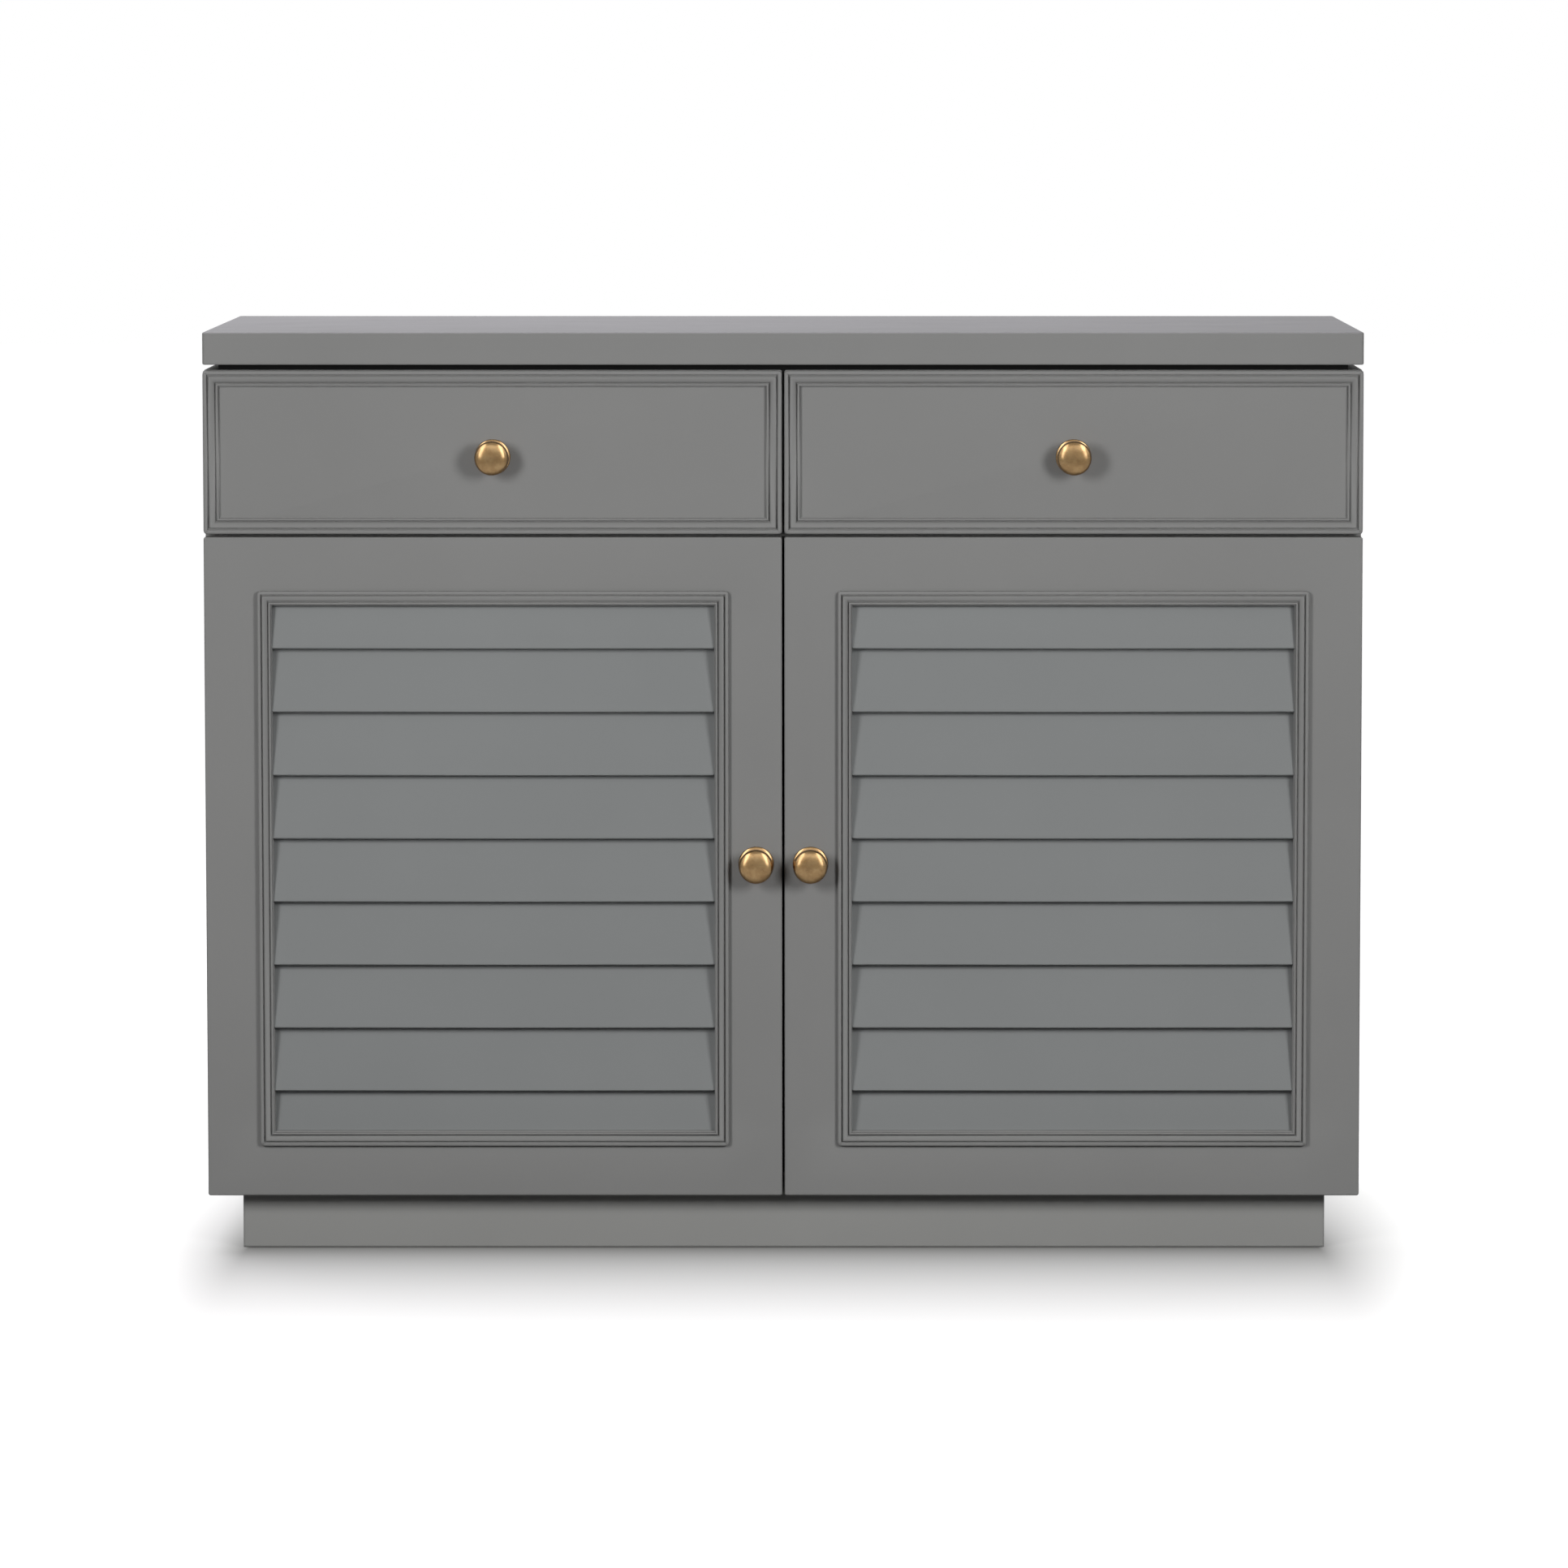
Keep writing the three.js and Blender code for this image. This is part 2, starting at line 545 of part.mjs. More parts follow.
// The swan-necked arm: an eye on the pin, the neck round the front of the side panel,
// and the arm with the plate that is screwed to the panel
function hingeArm(name, side, z) {
  const x = (inward) => pinX(side) - side * inward;
  const zs = [z - ARM_WIDTH / 2, z + ARM_WIDTH / 2];
  const end = PIN_Y + ARM_LENGTH;
  const neck = new THREE.SplineCurve([
    new THREE.Vector2(x(PIN_DIAMETER / 2 + FIT + ARM_EYE_WALL / 2), PIN_Y),
    ...ARM_NECK_SHARES.map(([inward, back]) => (
      new THREE.Vector2(x(inward * ARM_REACH), PIN_Y + back * ARM_REACH))),
    new THREE.Vector2(x(ARM_REACH), end),
  ]);
  const near = [];
  const far = [];
  for (let step = 0; step <= ARM_STEPS; step += 1) {
    const point = neck.getPointAt(step / ARM_STEPS);
    const along = neck.getTangentAt(step / ARM_STEPS);
    const across = new THREE.Vector2(-along.y, along.x).multiplyScalar(ARM_THICKNESS / 2);
    near.push(point.clone().add(across));
    far.unshift(point.clone().sub(across));
  }
  const strip = layFlat(new THREE.Shape([...near, ...far]), zs);
  const eyeDiameter = PIN_DIAMETER + 2 * (FIT + ARM_EYE_WALL);
  const eye = new THREE.CylinderGeometry(eyeDiameter / 2, eyeDiameter / 2, ARM_WIDTH, PIN_STEPS)
    .rotateX(Math.PI / 2).translate(pinX(side), PIN_Y, z);
  const bore = new THREE.CylinderGeometry(
    PIN_DIAMETER / 2 + FIT, PIN_DIAMETER / 2 + FIT, ARM_WIDTH + OVERRUN, PIN_STEPS)
    .rotateX(Math.PI / 2).translate(pinX(side), PIN_Y, z);
  const wall = side * (SIDE_INNER - FIT);
  const plateYs = [end - ARM_WIDTH - PLATE_WIDTH, end - ARM_WIDTH];
  const pad = block([wall, x(ARM_REACH)], [plateYs[0], end], zs);
  const wings = runAcross(
    roundedOutline(plateYs, [z - PLATE_SPAN / 2, z + PLATE_SPAN / 2], PLATE_CORNER),
    [wall, wall - side * PLATE_WING_THICKNESS]);
  return piece(name, cut(join([strip, eye, pad, wings]), [bore]), HINGE_STEEL);
}

// The whole cabinet, with its fronts at Y 0 and knobs before them, then centred on its footprint

const cabinet = new THREE.Group();
cabinet.add(topPanel());
cabinet.add(housedPanel('sub_top_panel', CARCASS_FRONT, SUB_TOP));
cabinet.add(housedPanel('drawer_shelf', CARCASS_FRONT, DRAWER_SHELF));
cabinet.add(housedPanel('cupboard_shelf', CARCASS_FRONT + SHELF_SETBACK, CUPBOARD_SHELF));
cabinet.add(housedPanel('bottom_panel', CARCASS_FRONT, BOTTOM_PANEL));
cabinet.add(centreDivider());
cabinet.add(backPanel());
cabinet.add(plinthFrame());
for (const [hand, side] of Object.entries(SIDES)) {
  cabinet.add(sidePanel(`${hand}_side_panel`, side));
  cabinet.add(runner(`${hand}_drawer_outer_runner`, side * SIDE_INNER, -side));
  cabinet.add(runner(`${hand}_drawer_inner_runner`, side * BOARD / 2, side));
  cabinet.add(drawer(`${hand}_drawer`, side));
  cabinet.add(door(`${hand}_door`, side));
  for (const [level, z] of Object.entries(hingeHeights())) {
    cabinet.add(hingeCup(`${hand}_${level}_hinge_cup`, side, z));
    cabinet.add(hingeArm(`${hand}_${level}_hinge_arm`, side, z));
  }
}
cabinet.position.y = -(DEPTH - KNOB_REACH) / 2;

const group = new THREE.Group();
group.add(cabinet);

export default group;
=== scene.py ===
# %% [markdown]
# # A louvred door cabinet, modelled and painted
#
# This lesson dresses the CAD model of a cupboard: two drawers above two louvred doors, on a
# plinth that stands back. The CAD model gives every size and every place, so nothing is fitted
# by eye here. The work left is what a joiner and a painter do last: eased edges, mitred
# mouldings, leaning slats, turned brass knobs, and a finish that looks sprayed, not drawn.
#
# The first cell loads the CAD model. Its pieces are called nodes, and each node rides on a body:
# the carcass, a door or a drawer. What is modelled below stands for a node and rides with it.

# %% Load the CAD model
import math

import bmesh
import bpy
from mathutils import Matrix, Vector


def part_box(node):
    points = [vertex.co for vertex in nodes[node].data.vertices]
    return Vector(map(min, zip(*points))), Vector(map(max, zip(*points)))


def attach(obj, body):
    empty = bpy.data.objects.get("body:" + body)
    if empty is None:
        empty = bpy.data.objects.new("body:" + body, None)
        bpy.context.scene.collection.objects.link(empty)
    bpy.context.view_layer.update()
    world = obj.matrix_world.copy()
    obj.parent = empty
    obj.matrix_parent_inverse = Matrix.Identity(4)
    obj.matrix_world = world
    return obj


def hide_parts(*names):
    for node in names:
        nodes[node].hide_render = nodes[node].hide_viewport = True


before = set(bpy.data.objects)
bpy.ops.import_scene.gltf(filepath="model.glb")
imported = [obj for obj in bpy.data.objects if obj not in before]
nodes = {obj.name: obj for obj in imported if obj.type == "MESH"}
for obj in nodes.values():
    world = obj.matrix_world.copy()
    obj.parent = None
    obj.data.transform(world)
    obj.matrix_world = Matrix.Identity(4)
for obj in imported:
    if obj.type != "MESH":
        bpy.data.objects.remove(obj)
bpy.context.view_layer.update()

# %% [markdown]
# ## The camera first
#
# A product photograph is taken with a long lens from a few metres away, so that the sides of the
# cabinet stay nearly parallel. The camera stands a little right of the middle and above the top.
# It looks slightly down, and a small lens shift sets the cabinet in the frame.
# The camera comes first because it says how large a detail must be to show.

# %% Place the camera
FRONT_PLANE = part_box("left_door_frame")[0].y
SENSOR_WIDTH = 36.0
LENS_IN_FRAME_WIDTHS = 4.6993
LENS_SHIFT = (-0.0353, -0.05)
CAMERA_ASIDE = 0.0485
CAMERA_DISTANCE = 6.343
CAMERA_HEIGHT = 1.0379
LOOK_DOWN = 0.0881

lens = bpy.data.cameras.new("camera")
lens.sensor_width = SENSOR_WIDTH
lens.lens = LENS_IN_FRAME_WIDTHS * SENSOR_WIDTH
lens.shift_x, lens.shift_y = LENS_SHIFT
camera = bpy.data.objects.new("camera", lens)
camera.location = (CAMERA_ASIDE, FRONT_PLANE - CAMERA_DISTANCE, CAMERA_HEIGHT)
camera.rotation_euler = (math.pi / 2 - LOOK_DOWN, 0, 0)
bpy.context.scene.collection.objects.link(camera)
bpy.context.scene.camera = camera
bpy.context.scene.view_settings.view_transform = "Standard"
print("lens:", round(lens.lens), "mm")

# %% [markdown]
# ## Small tools for nodes and colours
#
# A finish is a network of nodes. One helper adds a node, sets it and links it, which keeps each
# recipe readable. Colours are written as paint charts give them, in sRGB, and turned to the
# linear values that the renderer works with.

# %% One helper for nodes and one for colours
def linear(hex_colour):
    """An sRGB hex colour as the linear red, green, blue and alpha that shaders use."""
    parts = [int(hex_colour[i:i + 2], 16) / 255 for i in (1, 3, 5)]
    return [p / 12.92 if p <= 0.04045 else ((p + 0.055) / 1.055) ** 2.4 for p in parts] + [1.0]


def put(owner, kind, inputs=None, stops=None, **settings):
    """Adds one node, with its settings, its colour stops and what feeds its inputs."""
    node = owner.node_tree.nodes.new(kind)
    for name, value in settings.items():
        setattr(node, name, value)
    for key, value in (inputs or {}).items():
        if isinstance(value, bpy.types.NodeSocket):
            owner.node_tree.links.new(value, node.inputs[key])
        else:
            node.inputs[key].default_value = value
    if stops:
        ramp = node.color_ramp.elements
        for i, (place, hex_colour) in enumerate(stops):
            stop = ramp[i] if i < 2 else ramp.new(place)
            stop.position = place
            stop.color = linear(hex_colour)
    return node


def blank_finish(name):
    """A new material with only its output node."""
    finish = bpy.data.materials.new(name)
    finish.use_nodes = True
    finish.node_tree.nodes.clear()
    return finish


print("the chart's mid grey is", round(linear("#808080")[0], 3), "linear")

# %% [markdown]
# ## The paint
#
# The cabinet is primed board and timber, sprayed with satin lacquer and rubbed down between
# coats. Sprayed lacquer shows three things to a close eye: a very fine orange peel that softens
# reflections, patches that are a touch more or less glossy, and a tone that wanders by a hair.
# A single grey would do from afar, but it looks like plastic up close. So noise at three sizes,
# worked out from millimetres, feeds the bump, the roughness and the colour. The door frames, the
# slats and the plinth each get a lighter grey. That is painted light, set for how the lamps fall
# on each part; on the plinth it stands in for light bounced up from the floor.
#
# The top seems to float on a dark line. Where the board under it shows in that 5 mm gap, its
# colour is painted shade, near black, which makes the recess as dark as a deep shadow.

# %% Sprayed satin lacquer, grey
ORANGE_PEEL = 0.0022
GLOSS_PATCH = 0.09
TONE_PATCH = 0.35
PEEL_HEIGHT = 0.0003
GLOSS_SPREAD = 0.04
# Near black painted shade for the gap under the top, begun 1 mm below the gap's foot.
PAINTED_GAP_SHADE = "#141414"
PAINTED_SHADE_BELOW_GAP = 0.001


def sprayed_lacquer(name, tones, roughness, painted_shade_above=None):
    """Satin lacquer, sprayed and rubbed down, with near black painted shade above a height if one
    is given.
    """
    finish = blank_finish(name)
    place = put(finish, "ShaderNodeTexCoord").outputs["Object"]
    tone = put(finish, "ShaderNodeTexNoise", {
        "Vector": place, "Scale": 1 / TONE_PATCH, "Detail": 4.0, "Roughness": 0.6})
    colour = put(finish, "ShaderNodeValToRGB", {"Fac": tone.outputs["Fac"]},
                 stops=[(0.3, tones[0]), (0.7, tones[1])]).outputs["Color"]
    # Painted shade: above the given height the colour turns near black, as a deep shadow would be.
    if painted_shade_above:
        height = put(finish, "ShaderNodeSeparateXYZ", {0: place}).outputs["Z"]
        in_painted_shade = put(finish, "ShaderNodeMath", {0: height, 1: painted_shade_above},
                     operation="GREATER_THAN")
        colour = put(finish, "ShaderNodeMix", {
            0: in_painted_shade.outputs[0], 6: colour, 7: linear(PAINTED_GAP_SHADE)},
            data_type="RGBA").outputs[2]
    patch = put(finish, "ShaderNodeTexNoise", {
        "Vector": place, "Scale": 1 / GLOSS_PATCH, "Detail": 3.0, "Roughness": 0.55})
    gloss = put(finish, "ShaderNodeMapRange", {
        "Value": patch.outputs["Fac"], "From Min": 0.3, "From Max": 0.7,
        "To Min": roughness - GLOSS_SPREAD, "To Max": roughness + GLOSS_SPREAD})
    peel = put(finish, "ShaderNodeTexNoise", {
        "Vector": place, "Scale": 1 / ORANGE_PEEL, "Detail": 2.0, "Roughness": 0.5})
    bump = put(finish, "ShaderNodeBump", {
        "Height": peel.outputs["Fac"], "Strength": 0.12, "Distance": PEEL_HEIGHT})
    shader = put(finish, "ShaderNodeBsdfPrincipled", {
        "Base Color": colour, "Roughness": gloss.outputs["Result"],
        "Normal": bump.outputs["Normal"], "IOR": 1.5, "Specular IOR Level": 0.2})
    put(finish, "ShaderNodeOutputMaterial", {"Surface": shader.outputs["BSDF"]})
    return finish


print("orange peel", ORANGE_PEEL * 1000, "mm, patches", GLOSS_PATCH * 1000, "mm")

# %% Mix the greys
GREY_TONES = ("#828281", "#868685")
SATIN, DULL_SATIN, MATT = 0.45, 0.5, 0.65

grey_lacquer = sprayed_lacquer("grey_satin_lacquer", GREY_TONES, SATIN)
# The sub-top's lacquer turns to near black painted shade where it shows in the gap under the top.
lacquer_with_painted_gap_shade = sprayed_lacquer(
    "grey_satin_lacquer_painted_shade_in_the_gap", GREY_TONES, SATIN,
    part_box("left_side_panel")[1].z - PAINTED_SHADE_BELOW_GAP)
# The door frames, the slats and the plinth get lighter greys: painted light for how the lamps fall
# on them.
frame_lacquer_painted_lighter = sprayed_lacquer(
    "grey_satin_lacquer_painted_lighter_on_door_frames", ("#838382", "#878786"), SATIN)
slat_lacquer_painted_lighter = sprayed_lacquer("grey_satin_lacquer_painted_lighter_on_slats", ("#828484", "#868888"), SATIN)
back_paint = sprayed_lacquer("rolled_paint_on_hardboard", ("#888987", "#8e8f8d"), MATT)
plinth_lacquer_painted_lighter = sprayed_lacquer(
    "grey_satin_lacquer_painted_lighter_on_plinth", ("#959593", "#999997"), DULL_SATIN)
print("finishes:", [paint.name for paint in (
    grey_lacquer, lacquer_with_painted_gap_shade, frame_lacquer_painted_lighter, slat_lacquer_painted_lighter, back_paint, plinth_lacquer_painted_lighter)])

# %% [markdown]
# ## The drawer wood
#
# The drawer boxes and their runners are plain pine with a thin clear lacquer. Planed pine shows
# long growth rings, cut lengthways: pale early wood and narrow darker late wood, about a
# centimetre apart on the face, that run along each board. The rings are bands across the board,
# pushed about by a noise that is stretched twelve to one along the grain. Pores are a tenth of
# a millimetre wide, too fine to show, so their streaks are drawn at 0.9 mm. Boards that run
# across the cabinet and boards that run to the back each get their own direction.

# %% Pine with clear lacquer
RING_SPACING = 0.01374
WAVE_OF_SCALE_ONE = math.tau / 20
PORE_WIDTH = 0.0009
ALONG_GRAIN = 0.08
STREAK_SHARE = 0.25


def lacquered_pine(name, along):
    """Planed pine whose grain runs along the axis named, under a thin clear lacquer."""
    finish = blank_finish(name)
    place = put(finish, "ShaderNodeTexCoord").outputs["Object"]
    stretch = {"X": (ALONG_GRAIN, 1, 1), "Y": (1, ALONG_GRAIN, 1)}[along]
    grain = put(finish, "ShaderNodeMapping", {"Vector": place, "Scale": stretch})
    bands = put(finish, "ShaderNodeTexWave", {
        "Vector": grain.outputs["Vector"], "Scale": WAVE_OF_SCALE_ONE / RING_SPACING,
        "Distortion": 5.0, "Detail": 3.0, "Detail Scale": 1.2}, bands_direction="Z")
    streaks = put(finish, "ShaderNodeTexNoise", {
        "Vector": grain.outputs["Vector"], "Scale": 1 / PORE_WIDTH, "Detail": 3.0})
    wood = put(finish, "ShaderNodeValToRGB", {"Fac": bands.outputs["Fac"]},
               stops=[(0.2, "#d9bf95"), (0.75, "#cfb083"), (1.0, "#b98f5f")])
    pores = put(finish, "ShaderNodeValToRGB", {"Fac": streaks.outputs["Fac"]},
                stops=[(0.35, "#a9824f"), (0.65, "#e2cca4")])
    toned = put(finish, "ShaderNodeMix", {
        0: STREAK_SHARE, 6: wood.outputs["Color"], 7: pores.outputs["Color"]},
        data_type="RGBA")
    bump = put(finish, "ShaderNodeBump", {
        "Height": streaks.outputs["Fac"], "Strength": 0.15, "Distance": 0.0003})
    shader = put(finish, "ShaderNodeBsdfPrincipled", {
        "Base Color": toned.outputs[2], "Roughness": 0.5, "IOR": 1.5,
        "Coat Weight": 0.15, "Coat Roughness": 0.25, "Normal": bump.outputs["Normal"]})
    put(finish, "ShaderNodeOutputMaterial", {"Surface": shader.outputs["BSDF"]})
    return finish


pine_across = lacquered_pine("lacquered_pine_across", "X")
pine_to_back = lacquered_pine("lacquered_pine_to_back", "Y")
print("pine:", pine_across.name, pine_to_back.name)

# %% [markdown]
# ## Brass, steel and rubber
#
# The knobs are turned brass, aged in a bath and lacquered. Their shine is warm and a little
# cloudy, browner in the dull patches and at the rim, and the clear lacquer adds a white glint.
# The hinges and screws are pressed steel with bright nickel. Its rolling marks are finer than a
# picture shows, so they are drawn at 0.8 mm. The bumpers are domes of clear rubber. Metal takes
# its colour from the base colour, with metallic at one, and its softness from roughness.

# %% Aged brass
CLOUD_ON_BRASS = 0.006
FLECK_ON_BRASS = 0.0012


def aged_brass():
    """Turned brass, aged in a bath and dipped in clear lacquer, with browner, duller clouds."""
    finish = blank_finish("aged_turned_brass")
    place = put(finish, "ShaderNodeTexCoord").outputs["Object"]
    cloud = put(finish, "ShaderNodeTexNoise", {
        "Vector": place, "Scale": 1 / CLOUD_ON_BRASS, "Detail": 5.0, "Roughness": 0.65})
    fleck = put(finish, "ShaderNodeTexNoise", {
        "Vector": place, "Scale": 1 / FLECK_ON_BRASS, "Detail": 2.0})
    colour = put(finish, "ShaderNodeValToRGB", {"Fac": cloud.outputs["Fac"]},
                 stops=[(0.3, "#9b7849"), (0.5, "#ad8a59"), (0.7, "#bb9a69")])
    gloss = put(finish, "ShaderNodeMapRange", {
        "Value": cloud.outputs["Fac"], "From Min": 0.3, "From Max": 0.7,
        "To Min": 0.28, "To Max": 0.2})
    bump = put(finish, "ShaderNodeBump", {
        "Height": fleck.outputs["Fac"], "Strength": 0.08, "Distance": 0.0002})
    shader = put(finish, "ShaderNodeBsdfPrincipled", {
        "Base Color": colour.outputs["Color"], "Metallic": 1.0,
        "Specular Tint": linear("#8a5f30"), "Roughness": gloss.outputs["Result"],
        "Coat Weight": 1.0, "Coat Roughness": 0.1, "Normal": bump.outputs["Normal"]})
    put(finish, "ShaderNodeOutputMaterial", {"Surface": shader.outputs["BSDF"]})
    return finish


brass = aged_brass()
print("metal:", brass.name)

# %% Nickel-plated steel and clear rubber
ROLLING_MARK = 0.0008
MILK_IN_RUBBER = 0.0025


def nickel_plated_steel():
    """Pressed steel strip with bright nickel: faint rolling marks under a soft shine."""
    finish = blank_finish("nickel_plated_steel")
    place = put(finish, "ShaderNodeTexCoord").outputs["Object"]
    rolled = put(finish, "ShaderNodeMapping", {"Vector": place, "Scale": (1, 0.1, 1)})
    marks = put(finish, "ShaderNodeTexNoise", {
        "Vector": rolled.outputs["Vector"], "Scale": 1 / ROLLING_MARK, "Detail": 2.0})
    gloss = put(finish, "ShaderNodeMapRange", {
        "Value": marks.outputs["Fac"], "To Min": 0.22, "To Max": 0.38})
    colour = put(finish, "ShaderNodeValToRGB", {"Fac": marks.outputs["Fac"]},
                 stops=[(0.3, "#b4b2ae"), (0.7, "#c6c4c0")])
    shader = put(finish, "ShaderNodeBsdfPrincipled", {
        "Base Color": colour.outputs["Color"], "Metallic": 1.0,
        "Roughness": gloss.outputs["Result"]})
    put(finish, "ShaderNodeOutputMaterial", {"Surface": shader.outputs["BSDF"]})
    return finish


def clear_rubber():
    """Moulded clear rubber, slightly milky, as stick-on door bumpers are."""
    finish = blank_finish("clear_moulded_rubber")
    place = put(finish, "ShaderNodeTexCoord").outputs["Object"]
    milk = put(finish, "ShaderNodeTexNoise", {"Vector": place, "Scale": 1 / MILK_IN_RUBBER})
    colour = put(finish, "ShaderNodeValToRGB", {"Fac": milk.outputs["Fac"]},
                 stops=[(0.3, "#c9cac6"), (0.7, "#d8d9d5")])
    shader = put(finish, "ShaderNodeBsdfPrincipled", {
        "Base Color": colour.outputs["Color"], "Roughness": 0.35, "IOR": 1.49,
        "Transmission Weight": 0.4})
    put(finish, "ShaderNodeOutputMaterial", {"Surface": shader.outputs["BSDF"]})
    return finish


nickel = nickel_plated_steel()
rubber = clear_rubber()
print("hardware:", nickel.name, rubber.name)

# %% [markdown]
# ## Tools for modelling
# Everything is modelled as by hand: a primitive at its size and place, then edit mode. Edit mode
# works on what is selected, so the second tool selects faces, edges or corners by a test on
# their place or direction. The last tool hands a piece over: it smooths the rounded edges and
# keeps the flat faces flat, gives the finish, puts the piece on its body and hides the nodes it
# stands for.

# %% Start a block, select parts of it, round its edges
def only(piece):
    """Makes this object the one selected and active."""
    bpy.ops.object.select_all(action="DESELECT")
    piece.select_set(True)
    bpy.context.view_layer.objects.active = piece


def start_block(name, low, high):
    """A cube at its size and place, its object left unturned at the origin."""
    bpy.ops.object.select_all(action="DESELECT")
    bpy.ops.mesh.primitive_cube_add(
        size=1, location=(Vector(low) + Vector(high)) / 2, scale=Vector(high) - Vector(low))
    block = bpy.context.object
    block.name = block.data.name = name
    bpy.ops.object.transform_apply(location=True, rotation=True, scale=True)
    return block


def middle(part):
    """The middle of a face, an edge or a corner."""
    if isinstance(part, bmesh.types.BMVert):
        return part.co
    return sum((corner.co for corner in part.verts), Vector()) / len(part.verts)


def runs(edge, axis):
    """Whether an edge runs along an axis, 0, 1 or 2."""
    along = (edge.verts[0].co - edge.verts[1].co).normalized()
    return abs(along[axis]) > 0.999


def pick(kind, test):
    """In edit mode, selects the faces, edges or corners that pass the test."""
    bpy.ops.mesh.select_mode(type=kind)
    bpy.ops.mesh.select_all(action="DESELECT")
    mesh = bpy.context.edit_object.data
    form = bmesh.from_edit_mesh(mesh)
    parts = {"FACE": form.faces, "EDGE": form.edges, "VERT": form.verts}[kind]
    chosen = [part for part in parts if test(part)]
    for part in chosen:
        part.select_set(True)
    bmesh.update_edit_mesh(mesh)
    return len(chosen)


def near(a, b):
    """Whether two places are the same to a hundredth of a millimetre."""
    return abs(a - b) < 1e-5


def ease(radius, steps, test):
    """In edit mode, rounds the edges that pass the test."""
    if pick("EDGE", test):
        bpy.ops.mesh.bevel(offset=radius, segments=steps, affect="EDGES", clamp_overlap=False)


print("shaping tools:", start_block.__name__, pick.__name__, ease.__name__)

# %% Hand a piece over, or copy it
def hand_over(piece, finish, body, slot=None, stands_for=()):
    """Smooth shading that keeps flat faces flat, then finish, body and nodes; slot is not used."""
    only(piece)
    bpy.ops.object.shade_smooth()
    bpy.ops.object.modifier_add(type="WEIGHTED_NORMAL")
    bpy.ops.object.modifier_apply(modifier=piece.modifiers[-1].name)
    piece.data.materials.clear()
    piece.data.materials.append(finish)
    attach(piece, body)
    if stands_for:
        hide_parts(*stands_for)
    return piece


def copy_of(piece, name, shift, turn=0.0):
    """A copy with its own mesh, turned upright about the origin and moved within that mesh."""
    twin = piece.copy()
    twin.data = piece.data.copy()
    twin.name = twin.data.name = name
    twin.data.transform(Matrix.Translation(shift) @ Matrix.Rotation(turn, 4, "Z"))
    bpy.context.scene.collection.objects.link(twin)
    return twin


print("finishing tools:", hand_over.__name__, copy_of.__name__)

# %% [markdown]
# ## The top slab
#
# The top is one thick board, and the widest smooth face on the cabinet. Its corners are rounded
# on plan, and both long edges are eased with fine paper before spraying, which is what catches
# the thin line of light along them. A block with a bevel is the whole shape. The upright edges
# are rounded first, and then the rims above and below, so that the two radii stay apart.

# %% Model the top slab
TOP_CORNER = 0.0025
TOP_EASE = 0.0014

low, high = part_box("top_panel")
slab = start_block("top_slab", low, high)
bpy.ops.object.mode_set(mode="EDIT")
ease(TOP_CORNER, 5, lambda e: runs(e, 2))
ease(TOP_EASE, 4, lambda e: near(e.verts[0].co.z, e.verts[1].co.z)
     and (near(middle(e).z, low.z) or near(middle(e).z, high.z)))
bpy.ops.object.mode_set(mode="OBJECT")
hand_over(slab, grey_lacquer, "carcass", "grey_paint", ["top_panel"])
print("slab faces:", len(slab.data.polygons))

# %% [markdown]
# ## The drawer fronts
#
# Each drawer front is a board with a moulding planted round its edge. The board is a block with
# its four corners rounded as seen from the front, and its back edges eased. The front edges lie
# under the moulding and stay sharp. Bevels on chosen edges are all it takes.

# %% Model the drawer front boards
FRONT_CORNER = 0.002
ARRIS = 0.0006

for hand in ("left", "right"):
    low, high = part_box(f"{hand}_drawer_front")
    board = start_block(f"{hand}_drawer_board", low, high)
    bpy.ops.object.mode_set(mode="EDIT")
    ease(FRONT_CORNER, 4, lambda e: runs(e, 1))
    ease(ARRIS, 2, lambda e: near(e.verts[0].co.y, e.verts[1].co.y)
         and near(middle(e).y, high.y))
    bpy.ops.object.mode_set(mode="OBJECT")
    hand_over(board, grey_lacquer, f"{hand}_drawer", "grey_paint", [f"{hand}_drawer_front"])
print("board faces:", len(board.data.polygons))

# %% [markdown]
# ## The mouldings
#
# A strip with a profile runs round each drawer front and round each louvred opening, mitred at
# the corners: a broad round at the outside, a fine groove, a hollow that falls away inward, a
# second groove and a small bead. It could be a swept curve, but a sweep rounds its mitres. Here
# a plain rectangle is inset again and again, one step for each point of the profile, and the
# even inset draws every line of the strip parallel with a true mitre at each corner. The open
# middle and the back are then joined by a bridge, and the outer corners are rounded.

# %% The profile, as shares of the strip's width and height
PROFILE = [
    (0, 0), (0, 0.62), (0.012, 0.78), (0.035, 0.9), (0.075, 0.975), (0.12, 1), (0.18, 1),
    (0.225, 0.97), (0.24, 0.88), (0.252, 0.6), (0.27, 0.44), (0.3, 0.38), (0.33, 0.44),
    (0.348, 0.6), (0.358, 0.85), (0.38, 0.93), (0.42, 0.95), (0.48, 0.91), (0.56, 0.8),
    (0.63, 0.65), (0.68, 0.5), (0.705, 0.36), (0.72, 0.16), (0.735, 0.08), (0.76, 0.06),
    (0.775, 0.12), (0.785, 0.4), (0.797, 0.6), (0.82, 0.7), (0.86, 0.73), (0.9, 0.69),
    (0.92, 0.56), (0.93, 0.32), (0.945, 0.12), (0.97, 0.08), (1, 0.07), (1, 0),
]
STRIP_WIDTH = {"drawer": 0.0145, "door": 0.0125}
STRIP_CORNER = 0.003
CORNER_SHARE = 0.12


